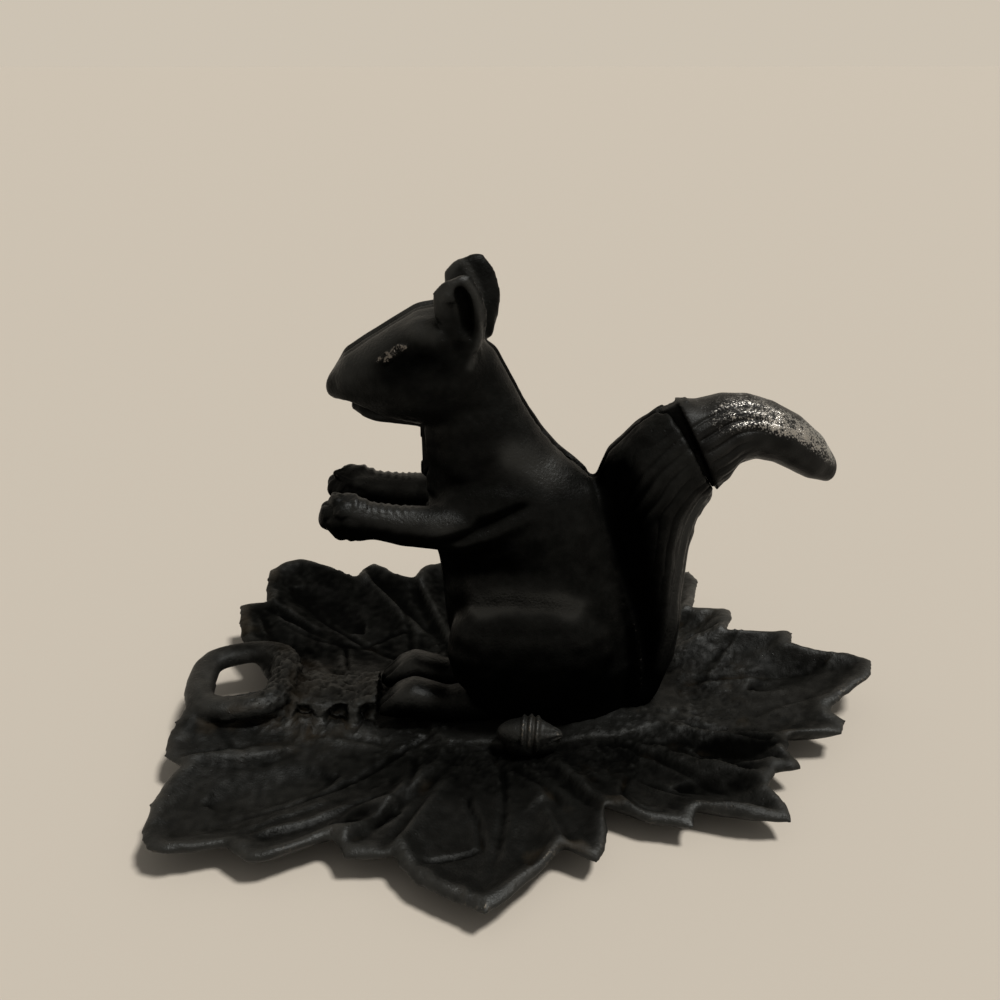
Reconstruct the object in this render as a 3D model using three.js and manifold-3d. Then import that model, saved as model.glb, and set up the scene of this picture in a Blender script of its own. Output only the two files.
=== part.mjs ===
// Lever nutcracker press: a cast-iron squirrel that sits on a leaf tray.
// Millimetres, +Z up. The squirrel faces -X, the tail handle points to +X, and the two shells of
// the body meet on the plane through its middle. The origin is on the table, under the tray's middle.
//
// The tail lever is one casting: handle, beam and lower jaw. It rocks on a pin that the shells hold,
// so lifting the tail drops the lower jaw, and pressing the tail down closes it on the nut.

import * as THREE from 'three';
import { mergeVertices } from 'three/addons/utils/BufferGeometryUtils.js';
import Module from 'manifold-3d';

const wasm = await Module();
wasm.setup();

// Driving sizes of the squirrel
const BODY_LENGTH = 100; // nose to rump, without the tail
const TORSO_HEIGHT = 100; // seat on the plinth up to the jaw line
const BODY_WIDTH = 40; // across both shells at the ribs
const BODY_WALL = 4; // thickness of the cast shells
const SEAT_HEIGHT = 7; // top of the plinth above the table
const PARTING_GAP = 0.6; // between the faces of the two shells
const TOUCH_GAP = 0.3; // between pieces that rest on each other

// Driving sizes of the tail lever
const HANDLE_REACH = 50; // how far the tail handle stands out of the split
const SPLIT_TOP_GAP = 3.8; // open wedge at the top of the tail split
const SPLIT_BOTTOM_GAP = 1.1; // the same at its bottom
const TONGUE_WIDTH = 4; // across the lever's tongue, which fills the split in the middle
const TONGUE_DROP = 1.4; // ends of the tongue, inside the ends of the split
const BEAM_WIDTH = 9; // across the beam inside the body
const BEAM_DEPTH = 9; // height of the beam's side face
const LEVER_BOSS_DIAMETER = 16;
const LEVER_BOSS_WIDTH = 14;
const PIN_DIAMETER = 6;
const PIN_LENGTH = 26;
const PIN_CLEARANCE = 0.35; // between the pin and each of its bores
const SIDE_CLEARANCE = 0.4; // between the lever and the shells beside it
const SLOT_CLEARANCE = 0.8; // between the beam and each side of its slots in the shells
const MOUTH_CLEARANCE = 1; // between the lower jaw and the cheeks
const SHELL_BOSS_DIAMETER = 15;
const TOOTH_HEIGHT = 1.4; // cracking teeth in the mouth
const TOOTH_PITCH = 3.6;
const TOOTH_COUNT = 4;

// Driving sizes of the leaf tray
const LEAF_REACH = 125; // leaf centre to the tip of the middle lobe
const RIM_HEIGHT = 20; // highest rim above the table
const LEAF_FLOOR = 4.5; // top of the leaf at its centre
const LEAF_WALL = 3;
const RIM_THICKNESS = 4.4;
const RIM_BEAD = 1.1; // rise of the rounded rim above the dish
const VEIN_DEPTH = 1;
const LOBE_CUP = 1.6; // how much each lobe sinks along its middle
const NUB_DIAMETER = 9; // cast nubs that the tray stands on
const RING_LENGTH = 36; // finger ring, over its outer side along the leaf
const RING_WIDTH = 42; // the same across the leaf
const RING_BAND = 10;
const RING_THICKNESS = 8;
const RING_CENTRE_HEIGHT = 14.5;
const RIDGE_HEIGHT = 13.5; // top of the bark-like ridge above the table
const RIDGE_WIDTH = 23;
const NICHE_DEPTH = 5;
const NICHE_WIDTH = 5.4;
const NICHE_HEIGHT = 6;
const ACORN_LENGTH = 18;
const ACORN_DIAMETER = 11;

// Fasteners
const SCREW_DIAMETER = 4;
const SCREW_HEAD_DIAMETER = 7.6;
const SCREW_HEAD_HEIGHT = 2;
const SCREW_SLOT = 0.9; // width and depth of the driver slot
const SCREW_CLEARANCE = 0.3; // between a shank and its hole
const HEAD_CLEARANCE = 0.6; // between a screw head or washer and its pocket
const SCREW_CHAMFER = 0.5;
const SCREW_BOSS_DIAMETER = 10;
const BODY_SCREW_GRIP = 7; // shank in the near shell
const TRAY_SCREW_GRIP = 10; // shank in the shells above the seat
const TRAY_SCREW_SPACING = 25;
const WASHER_DIAMETER = 10;
const WASHER_THICKNESS = 0.7;
const POCKET_DEPTH = 4.2; // pockets under the tray for the washers and screw heads
const OVERRUN = 3; // how far a cut runs past what it cuts
const MERGE_DISTANCE = 0.0001; // corners closer than this are one corner

// Number of faces round each form
const LOFT_SIDES = 22;
const LIMB_SIDES = 12;
const ROUND_SIDES = 16;
const SCREW_SIDES = 12;
const RING_SIDES = 8;
const RING_STEPS = 22;
const ACORN_SIDES = 9;
const ARC_STEPS = 2;
const RIDGE_STEPS = 4;
const EGG_ROWS_SHARE = 0.6; // rows of faces on an egg shape for each side round it
const DOME_SHARES = [0.45, 0.8]; // where the rows of a loft's domed end lie

// Places of the squirrel: along is a share of the body's length from the origin plane, up is a share
// of the torso's height from the seat, and across is a share of the body's width from the middle.
const along = (share) => share * BODY_LENGTH;
const up = (share) => SEAT_HEIGHT + share * TORSO_HEIGHT;
const across = (share) => share * BODY_WIDTH;

// Rows of the lofts: front along, front up, back along, back up, half width across
const TORSO_SHARES = [
  [-0.15, -0.06, 0.29, -0.06, 0.4],
  [-0.22, 0.06, 0.33, 0.06, 0.45],
  [-0.265, 0.18, 0.35, 0.18, 0.5],
  [-0.29, 0.31, 0.34, 0.31, 0.5],
  [-0.3, 0.43, 0.31, 0.43, 0.49],
  [-0.31, 0.55, 0.265, 0.56, 0.475],
  [-0.335, 0.64, 0.225, 0.68, 0.455],
  [-0.35, 0.735, 0.185, 0.77, 0.42],
  [-0.345, 0.8, 0.125, 0.83, 0.375],
  [-0.34, 0.86, 0.066, 0.88, 0.34],
  [-0.345, 0.92, 0.014, 0.94, 0.315],
  [-0.35, 0.98, -0.032, 1.01, 0.3],
  [-0.34, 1.04, -0.08, 1.1, 0.28],
  [-0.31, 1.12, -0.122, 1.18, 0.22],
];
const HEAD_SHARES = [
  [-0.595, 1.123, -0.597, 1.058, 0.085],
  [-0.555, 1.182, -0.562, 1.036, 0.165],
  [-0.49, 1.224, -0.5, 1.012, 0.245],
  [-0.43, 1.26, -0.44, 0.992, 0.305],
  [-0.34, 1.313, -0.36, 0.975, 0.35],
  [-0.25, 1.33, -0.28, 0.96, 0.36],
  [-0.19, 1.29, -0.205, 0.975, 0.3],
  [-0.15, 1.21, -0.155, 1.03, 0.2],
];
const TAIL_ROOT_SHARES = [
  [0.22, -0.06, 0.35, -0.06, 0.2],
  [0.22, 0.06, 0.405, 0.03, 0.26],
  [0.215, 0.2, 0.447, 0.16, 0.31],
  [0.2, 0.34, 0.464, 0.31, 0.335],
  [0.18, 0.48, 0.466, 0.44, 0.34],
  [0.15, 0.62, 0.474, 0.56, 0.34],
  [0.15, 0.74, 0.498, 0.66, 0.34],
  [0.205, 0.87, 0.522, 0.715, 0.335],
  [0.29, 0.96, 0.53, 0.734, 0.325],
  [0.368, 1.01, 0.53, 0.74, 0.315],
];
const FOOT_SHARES = [
  [-0.08, 0.11, -0.08, -0.04, 0.14],
  [-0.19, 0.118, -0.19, -0.04, 0.15],
  [-0.29, 0.098, -0.29, -0.03, 0.145],
  [-0.345, 0.118, -0.345, -0.01, 0.155],
  [-0.4, 0.136, -0.4, 0.002, 0.16],
  [-0.45, 0.114, -0.452, 0.006, 0.152],
  [-0.488, 0.075, -0.49, 0.014, 0.115],
];
const FOOT_PLACE_SHARE = 0.2;
// Rows of the arms have a sixth value, the place of the row's middle across the body
const ARM_SHARES = [
  [-0.12, 0.74, -0.12, 0.62, 0.14, 0.31],
  [-0.24, 0.762, -0.24, 0.61, 0.16, 0.325],
  [-0.31, 0.755, -0.31, 0.628, 0.155, 0.325],
  [-0.41, 0.756, -0.41, 0.637, 0.14, 0.31],
  [-0.49, 0.766, -0.49, 0.655, 0.133, 0.295],
  [-0.54, 0.795, -0.545, 0.648, 0.15, 0.28],
  [-0.59, 0.796, -0.593, 0.656, 0.155, 0.27],
  [-0.622, 0.766, -0.627, 0.69, 0.11, 0.262],
];
// Rows of the ears run up: middle along, up, half length along, half thickness across, place across
const EAR_SHARES = [
  [-0.205, 1.19, 0.032, 0.1, 0.2],
  [-0.208, 1.25, 0.052, 0.09, 0.222],
  [-0.223, 1.315, 0.073, 0.075, 0.256],
  [-0.231, 1.37, 0.066, 0.06, 0.284],
  [-0.225, 1.4, 0.044, 0.045, 0.295],
  [-0.213, 1.412, 0.02, 0.03, 0.3],
];
const HAUNCH_PLACE_SHARES = [-0.02, 0.26, 0.275];
const HAUNCH_HALF_SHARES = [0.27, 0.255, 0.31];
const SHOULDER_PLACE_SHARES = [-0.12, 0.72, 0.25];
const SHOULDER_HALF_SHARES = [0.19, 0.13, 0.205];
const EAR_CUP_SHARES = [0.046, 0.075, 0.09];
const EAR_CUP_ROW = 2; // row of the ear at which its hollow is deepest
const FAR_EAR_BACK_SHARE = 0.036; // how much further back the far ear sits
const FAR_EAR_SPREAD_SHARE = 1.12; // how much longer the far ear is along the body
const FAR_EAR_RISE_SHARE = 0.013; // how much higher the far ear stands

// Rows of the lower jaw, like those of the lofts above
const JAW_SHARES = [
  [-0.555, 1.046, -0.556, 1.02, 0.075],
  [-0.53, 1.055, -0.53, 1.012, 0.115],
  [-0.48, 1.046, -0.48, 0.997, 0.14],
  [-0.43, 1.036, -0.435, 0.984, 0.15],
  [-0.385, 1.026, -0.395, 0.962, 0.135],
  [-0.345, 1.012, -0.36, 0.93, 0.105],
];
// Rows of the nut space above the jaw. Its width follows the jaw's, row by row.
const MOUTH_SHARES = [
  [-0.572, 1.065, -0.572, 0.86],
  [-0.54, 1.095, -0.54, 0.86],
  [-0.49, 1.125, -0.49, 0.86],
  [-0.43, 1.14, -0.43, 0.86],
  [-0.366, 1.12, -0.366, 0.86],
];
const PIVOT_SHARES = [0.05, 0.68];
const BEAM_SHARES = [
  [0.34, 0.73],
  [0.18, 0.67],
  [0.05, 0.68],
  [-0.08, 0.775],
  [-0.2, 0.88],
  [-0.3, 0.945],
  [-0.37, 0.98],
];
const THROAT_SLOT_SHARES = [
  [-0.46, 1.06],
  [-0.2, 1.06],
  [-0.2, 0.8],
  [-0.29, 0.71],
  [-0.46, 0.71],
];
// Stem below the lower jaw, seen in the throat's slot
const JAW_STEM_SHARES = [
  [-0.36, 0.98],
  [-0.369, 0.94],
  [-0.362, 0.865],
  [-0.373, 0.85],
  [-0.368, 0.82],
  [-0.342, 0.822],
  [-0.315, 0.86],
  [-0.285, 0.94],
];
const BEAM_WINDOW_SHARES = [
  [0.02, 0.62],
  [0.02, 0.77],
  [0.18, 0.768],
  [0.34, 0.87],
  [0.42, 0.8],
  [0.42, 0.69],
  [0.26, 0.6],
];

// Rows of the tail handle beyond the split: top out, top up, bottom out, bottom up, half width, all
// as shares of the handle's reach and counted from the middle of the split
const HANDLE_SHARES = [
  [0.03, 0.296, 0.24, -0.178, 0.25],
  [0.18, 0.33, 0.3, -0.09, 0.235],
  [0.34, 0.326, 0.39, -0.062, 0.225],
  [0.5, 0.276, 0.5, -0.086, 0.215],
  [0.66, 0.186, 0.62, -0.142, 0.2],
  [0.8, 0.066, 0.72, -0.194, 0.175],
  [0.88, -0.054, 0.82, -0.216, 0.13],
];
const HANDLE_DOME_SHARE = 0.6; // depth of the rounded tip, from the half depth of the last row
const SPLIT_MIDDLE_SHARE = 0.45; // where the tongue's arc starts, from the bottom of the split
const TONGUE_ANGLES = [34, 45.9]; // ends of the tongue's arc, in degrees about the pivot
const NOTCH_ANGLES = [38, 54];
const BEAM_ENTRY_SHARE = 0.34; // where the beam meets the handle, from the bottom of the split
const BEAM_BURIED_SHARE = 0.3; // how far the beam runs on inside the handle

// Body screws: along, up, and the far side's seat for the screw head across the body
const BODY_SCREW_SHARES = [
  [-0.235, 1.22, 0.24],
  [-0.1, 0.2, 0.4],
  [0.34, 0.26, 0.24],
];
const TRAY_SCREW_SHARE = 0.06;

// Outline of the leaf: angle in degrees, reach as a share, height of the rim as a share
const LEAF_RIM_SHARES = [
  [-174, 0.8, 0.84],
  [-168.6, 0.835, 0.7],
  [-164, 0.85, 0.58],
  [-160.5, 0.812, 0.55],
  [-156.8, 0.856, 0.58],
  [-152.6, 0.904, 0.6],
  [-148.9, 0.928, 0.58],
  [-145, 0.944, 0.55],
  [-143, 0.92, 0.55],
  [-141, 0.864, 0.52],
  [-139, 0.808, 0.5],
  [-134, 0.808, 0.5],
  [-131.7, 0.77, 0.5],
  [-130, 0.72, 0.52],
  [-126.6, 0.648, 0.52],
  [-121, 0.672, 0.48],
  [-116.7, 0.648, 0.5],
  [-113.4, 0.624, 0.52],
  [-111.4, 0.645, 0.48],
  [-107, 0.68, 0.46],
  [-99.6, 0.716, 0.46],
  [-94.4, 0.7431, 0.48],
  [-91.6, 0.712, 0.48],
  [-88.6, 0.676, 0.5],
  [-85.2, 0.648, 0.5],
  [-82, 0.612, 0.52],
  [-78.6, 0.588, 0.52],
  [-73.3, 0.632, 0.45],
  [-70.8, 0.608, 0.46],
  [-67.5, 0.56, 0.48],
  [-64, 0.496, 0.5],
  [-60.7, 0.536, 0.5],
  [-57.6, 0.584, 0.46],
  [-51.8, 0.656, 0.43],
  [-47.7, 0.63, 0.5],
  [-43.7, 0.72, 0.5],
  [-41.4, 0.768, 0.48],
  [-39, 0.808, 0.45],
  [-36.4, 0.784, 0.5],
  [-34, 0.726, 0.55],
  [-29.4, 0.732, 0.55],
  [-26, 0.784, 0.5],
  [-22.4, 0.74, 0.55],
  [-19, 0.736, 0.6],
  [-17.2, 0.8, 0.6],
  [-15.6, 0.868, 0.58],
  [-12.5, 0.88, 0.6],
  [-10.2, 0.84, 0.66],
  [-5.9, 0.916, 0.76],
  [-2, 0.986, 0.82],
  [1.2, 1.0001, 0.84],
  [3.2, 0.965, 0.84],
  [4.6, 0.9, 0.82],
  [8, 0.82, 0.86],
  [11.6, 0.848, 0.85],
  [13.4, 0.76, 0.86],
  [16, 0.676, 0.87],
  [20.6, 0.728, 0.86],
  [24, 0.752, 0.85],
  [26, 0.71, 0.86],
  [28.8, 0.656, 0.85],
  [33, 0.72, 0.78],
  [38.5, 0.82, 0.75],
  [42.9, 0.85, 0.75],
  [45.6, 0.76, 0.78],
  [49, 0.65, 0.8],
  [54, 0.668, 0.82],
  [59, 0.6, 0.84],
  [64, 0.5, 0.84],
  [68, 0.56, 0.84],
  [73, 0.63, 0.82],
  [77, 0.594, 0.85],
  [82, 0.61, 0.87],
  [88, 0.67, 0.88],
  [96, 0.745, 0.9],
  [98, 0.712, 0.9],
  [104.8, 0.648, 0.9],
  [109, 0.648, 0.9],
  [114.7, 0.6, 0.86],
  [118.4, 0.656, 0.87],
  [120.6, 0.744, 0.9],
  [124.3, 0.728, 0.9],
  [128, 0.692, 0.9],
  [130.6, 0.824, 0.95],
  [133.2, 0.896, 1],
  [136.3, 0.912, 1],
  [140.5, 0.904, 0.97],
  [144.2, 0.86, 0.9],
  [147.7, 0.808, 0.82],
  [150.8, 0.868, 0.8],
  [154.1, 0.832, 0.78],
  [160.2, 0.768, 0.7],
  [167, 0.69, 0.68],
  [174, 0.63, 0.67],
  [180, 0.61, 0.65],
];
const VEIN_ANGLES = [-145, -94.4, -39, 1.2, 42.9, 96, 140.5];
const VEIN_END_SHARE = 0.9; // how far each vein runs towards the rim
const LOBE_SPREAD_ANGLE = 24; // degrees on either side of a vein over which its lobe is cupped
const LEAF_RING_SHARES = [0.14, 0.29, 0.43, 0.56, 0.68, 0.79, 0.88, 0.955];
const RIM_EDGE_SHARE = 1 / 3; // how far below its top the rim reaches out furthest
const UNDERSIDE_SHARES = [0.93, 0.72, 0.42];
const DISH_POWER = 2.1; // how late the dish turns up towards its rim
const LEAF_CENTRE_SHARE = -0.096;
const NUB_REACH_SHARE = 0.7; // of the leaf's reach on the nub's own ray
const NUB_ANGLES = [-6, 70, -84, 168];
const NUB_TAPER_SHARE = 0.7;
const RING_PLACE_SHARE = -0.68;
const RING_ASIDE_SHARE = 0.024;
const RING_FLAT_SHARE = 0.6; // the band's lower half is this much flatter than its upper half
// Middle line of the finger ring: along and across, as shares of its length and width
const RING_PATH_SHARES = [
  [0.5, 0.32],
  [0.28, 0.5],
  [-0.14, 0.48],
  [-0.46, 0.32],
  [-0.4905, -0.04],
  [-0.4, -0.36],
  [-0.12, -0.5],
  [0.3, -0.46],
  [0.5, -0.3],
];
const RIDGE_SHARES = [-0.59, -0.318];
const RIDGE_BUMP_SHARE = 0.12; // how much the ridge's height wavers
const NICHE_SHARES = [-0.5, -0.415, -0.337];
const ACORN_PLACE_SHARES = [-0.04, 0.04, -0.635];
const ACORN_TURN_ANGLE = -8; // degrees that the acorn's axis is turned from the squirrel's
const ACORN_PROFILE_SHARES = [
  [0, -0.56],
  [0.05, -0.55],
  [0.075, -0.5],
  [0.3, -0.44],
  [0.42, -0.26],
  [0.47, -0.06],
  [0.56, -0.04],
  [0.58, 0.08],
  [0.5, 0.26],
  [0.33, 0.38],
  [0.14, 0.42],
  [0.11, 0.5],
  [0, 0.52],
];
const PLINTH_SPREAD_SHARE = 1.05; // foot of the plinth against its top
const PLINTH_SHARES = [
  [-0.34, 0.38],
  [-0.3, 0.55],
  [0, 0.6],
  [0.24, 0.58],
  [0.4, 0.44],
  [0.47, 0.2],
];

// Turns a closed three.js geometry into a solid that can be joined and cut
function toSolid(geometry) {
  const bare = new THREE.BufferGeometry();
  bare.setAttribute('position', geometry.getAttribute('position').clone());
  if (geometry.index) {
    bare.setIndex(geometry.index.clone());
  }
  const merged = mergeVertices(bare, MERGE_DISTANCE);
  const index = Uint32Array.from(merged.index.array);
  const position = Float32Array.from(merged.getAttribute('position').array);
  return new wasm.Manifold(new wasm.Mesh({ numProp: 3, vertProperties: position, triVerts: index }));
}

// Turns a joined solid back into a geometry with flat-shaded faces
function toGeometry(solid) {
  const mesh = solid.getMesh();
  const geometry = new THREE.BufferGeometry();
  geometry.setAttribute('position', new THREE.BufferAttribute(Float32Array.from(mesh.vertProperties), 3));
  geometry.setIndex(new THREE.BufferAttribute(Uint32Array.from(mesh.triVerts), 1));
  geometry.computeVertexNormals();
  return geometry;
}

// Joins a list of solids into one
function joined(solids) {
  return solids.reduce((sum, solid) => sum.add(solid));
}

// Builds a closed geometry from rings of points, each ring with the same number of points, and a
// pole at either end. The faces are turned so that they point outwards.
function closeRings(rings, startPole, endPole) {
  const sides = rings[0].length;
  const points = [...rings.flat(), startPole, endPole];
  const startIndex = points.length - 2;
  const endIndex = points.length - 1;
  const faces = [];
  for (let ring = 0; ring + 1 < rings.length; ring += 1) {
    for (let side = 0; side < sides; side += 1) {
      const next = (side + 1) % sides;
      const lowHere = ring * sides + side;
      const lowNext = ring * sides + next;
      const highHere = lowHere + sides;
      const highNext = lowNext + sides;
      faces.push(lowHere, lowNext, highNext, lowHere, highNext, highHere);
    }
  }
  for (let side = 0; side < sides; side += 1) {
    const next = (side + 1) % sides;
    const lastRing = (rings.length - 1) * sides;
    faces.push(startIndex, next, side, endIndex, lastRing + side, lastRing + next);
  }
  let volume = 0;
  for (let corner = 0; corner < faces.length; corner += 3) {
    const [first, second, third] = faces.slice(corner, corner + 3).map((place) => points[place]);
    volume += first.dot(new THREE.Vector3().crossVectors(second, third));
  }
  if (volume < 0) {
    faces.reverse();
  }
  const geometry = new THREE.BufferGeometry();
  geometry.setFromPoints(points);
  geometry.setIndex(faces);
  return geometry;
}

// Makes a loft through sections, each with a centre and two half axes. A power over 2 squares the
// sections, and either end is closed flat or by a dome of the given depth.
function loft(sections, { sides = LOFT_SIDES, power = 2, startDome = 0, endDome = 0 } = {}) {
  const squared = (value) => Math.sign(value) * Math.abs(value) ** (2 / power);
  const ringOf = ({ centre, half, side }, scale, shift) => {
    const ring = [];
    for (let place = 0; place < sides; place += 1) {
      const angle = (2 * Math.PI * place) / sides;
      ring.push(
        centre
          .clone()
          .add(shift)
          .addScaledVector(half, scale * squared(Math.cos(angle)))
          .addScaledVector(side, scale * squared(Math.sin(angle))),
      );
    }
    return ring;
  };
  const rings = sections.map((section) => ringOf(section, 1, new THREE.Vector3()));
  const domeOf = (section, neighbour, depth) => {
    const out = section.centre.clone().sub(neighbour.centre).normalize();
    const shares = depth > 0 ? DOME_SHARES : [];
    const domed = shares.map((share) => {
      const shift = out.clone().multiplyScalar(share * depth);
      return ringOf(section, Math.sqrt(1 - share ** 2), shift);
    });
    return { domed, pole: section.centre.clone().addScaledVector(out, depth) };
  };
  const start = domeOf(sections[0], sections[1], startDome);
  const end = domeOf(sections[sections.length - 1], sections[sections.length - 2], endDome);
  const allRings = [...start.domed.reverse(), ...rings, ...end.domed];
  return toSolid(closeRings(allRings, start.pole, end.pole));
}

// Turns rows of shares into sections, each drawn in by a wall thickness where one is given. Rows
// without a sixth value lie in the middle plane.
function sectionsOf(rows, { wall = 0, mirror = 1 } = {}) {
  return rows.map(([frontAlong, frontUp, backAlong, backUp, halfWidth, place = 0]) => {
    const front = new THREE.Vector3(along(frontAlong), 0, up(frontUp));
    const back = new THREE.Vector3(along(backAlong), 0, up(backUp));
    const centre = front.clone().add(back).multiplyScalar(0.5);
    centre.y = mirror * across(place);
    const half = back.sub(front).multiplyScalar(0.5);
    half.setLength(half.length() - wall);
    return { centre, half, side: new THREE.Vector3(0, across(halfWidth) - wall, 0) };
  });
}

// Plate of even width about the middle plane, with its outline given as [x, z] points
function plate(outline, width) {
  const shape = new THREE.Shape(outline.map(([x, z]) => new THREE.Vector2(x, z)));
  const geometry = new THREE.ExtrudeGeometry(shape, { depth: width, bevelEnabled: false });
  geometry.rotateX(Math.PI / 2);
  geometry.translate(0, width / 2, 0);
  return toSolid(geometry);
}

// Round bar across the body, from one y to another
function crossBar(diameter, x, z, fromY, toY, sides = ROUND_SIDES) {
  const geometry = new THREE.CylinderGeometry(diameter / 2, diameter / 2, toY - fromY, sides);
  geometry.translate(x, (fromY + toY) / 2, z);
  return toSolid(geometry);
}

// Round upright bar, from one z to another, which may taper
function upright(diameter, x, y, fromZ, toZ, topDiameter = diameter, sides = ROUND_SIDES) {
  const geometry = new THREE.CylinderGeometry(topDiameter / 2, diameter / 2, toZ - fromZ, sides);
  geometry.rotateX(Math.PI / 2);
  geometry.translate(x, y, (fromZ + toZ) / 2);
  return toSolid(geometry);
}

// Block between two opposite corners
function block(low, high) {
  const size = new THREE.Vector3(...high).sub(new THREE.Vector3(...low));
  const geometry = new THREE.BoxGeometry(size.x, size.y, size.z);
  geometry.translate((low[0] + high[0]) / 2, (low[1] + high[1]) / 2, (low[2] + high[2]) / 2);
  return toSolid(geometry);
}

// Egg shape with the given middle and half sizes
function egg(centre, halves, sides = ROUND_SIDES) {
  const geometry = new THREE.SphereGeometry(1, sides, Math.round(sides * EGG_ROWS_SHARE));
  geometry.scale(...halves);
  geometry.translate(...centre);
  return toSolid(geometry);
}

// Screw along +Y with a domed, slotted head. The head's seat is at y = 0 and the shank runs to -Y.
function screwSolid(grip) {
  const shank = SCREW_DIAMETER / 2;
  const head = SCREW_HEAD_DIAMETER / 2;
  const profile = [
    [0, -grip],
    [shank - SCREW_CHAMFER, -grip],
    [shank, -grip + SCREW_CHAMFER],
    [shank, 0],
    [head, 0],
    [head, SCREW_HEAD_HEIGHT / 2],
    [head - SCREW_CHAMFER, SCREW_HEAD_HEIGHT - SCREW_CHAMFER / 2],
    [head / 2, SCREW_HEAD_HEIGHT],
    [0, SCREW_HEAD_HEIGHT],
  ];
  const turned = new THREE.LatheGeometry(profile.map(([x, y]) => new THREE.Vector2(x, y)), SCREW_SIDES);
  const slotLow = [-SCREW_HEAD_DIAMETER, SCREW_HEAD_HEIGHT - SCREW_SLOT, -SCREW_SLOT / 2];
  const slotHigh = [SCREW_HEAD_DIAMETER, SCREW_HEAD_HEIGHT + OVERRUN, SCREW_SLOT / 2];
  return toSolid(turned).subtract(block(slotLow, slotHigh));
}

// Shared places
const pivotX = along(PIVOT_SHARES[0]);
const pivotZ = up(PIVOT_SHARES[1]);
const floorZ = SEAT_HEIGHT + TOUCH_GAP;
const farAway = LEAF_REACH + BODY_LENGTH;
const leafCentreX = LEAF_CENTRE_SHARE * LEAF_REACH;
const trayScrewX = along(TRAY_SCREW_SHARE);
const lastTailRow = TAIL_ROOT_SHARES[TAIL_ROOT_SHARES.length - 1];
const splitTop = new THREE.Vector3(along(lastTailRow[0]), 0, up(lastTailRow[1]));
const splitBottom = new THREE.Vector3(along(lastTailRow[2]), 0, up(lastTailRow[3]));
const splitMiddle = splitTop.clone().add(splitBottom).multiplyScalar(0.5);
const splitUp = splitTop.clone().sub(splitBottom).normalize();
const splitOut = new THREE.Vector3(splitUp.z, 0, -splitUp.x);
const pivotPlace = new THREE.Vector3(pivotX, 0, pivotZ);
const tongueRadius = splitMiddle.clone().sub(pivotPlace).dot(splitOut) + TOUCH_GAP;

// One ear with its hollow on the outer side
function earSolid(mirror) {
  const back = mirror > 0 ? FAR_EAR_BACK_SHARE : 0;
  const spread = mirror > 0 ? FAR_EAR_SPREAD_SHARE : 1;
  const rise = mirror > 0 ? FAR_EAR_RISE_SHARE : 0;
  const sections = EAR_SHARES.map(([middle, height, halfLength, halfThickness, place]) => ({
    centre: new THREE.Vector3(along(middle + back), mirror * across(place), up(height + rise)),
    half: new THREE.Vector3(along(halfLength) * spread, 0, 0),
    side: new THREE.Vector3(0, across(halfThickness), 0),
  }));
  const top = sections[sections.length - 1].side.y;
  const ear = loft(sections, { sides: LIMB_SIDES, endDome: top });
  const [middle, height, , , place] = EAR_SHARES[EAR_CUP_ROW];
  const halves = [along(EAR_CUP_SHARES[0]), across(EAR_CUP_SHARES[2]), EAR_CUP_SHARES[1] * TORSO_HEIGHT];
  const cupY = mirror * (across(place) + halves[1]);
  return ear.subtract(egg([along(middle + back), cupY, up(height + rise)], halves, LIMB_SIDES));
}

// Haunch, shoulder, foot, arm with its paw, and ear of one side
function limbSolids(mirror) {
  const eggOf = ([x, z, y], [halfX, halfZ, halfY]) =>
    egg([along(x), mirror * across(y), up(z)], [along(halfX), across(halfY), halfZ * TORSO_HEIGHT]);
  const footSections = sectionsOf(FOOT_SHARES.map((row) => [...row, FOOT_PLACE_SHARE]), { mirror });
  const footTip = footSections[footSections.length - 1].half.length();
  const armSections = sectionsOf(ARM_SHARES, { mirror });
  const pawTip = armSections[armSections.length - 1].half.length() / 2;
  return [
    eggOf(HAUNCH_PLACE_SHARES, HAUNCH_HALF_SHARES),
    eggOf(SHOULDER_PLACE_SHARES, SHOULDER_HALF_SHARES),
    loft(footSections, { sides: LIMB_SIDES, endDome: footTip, power: 2.4 }),
    loft(armSections, { sides: LIMB_SIDES, endDome: pawTip }),
    earSolid(mirror),
  ];
}

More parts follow.
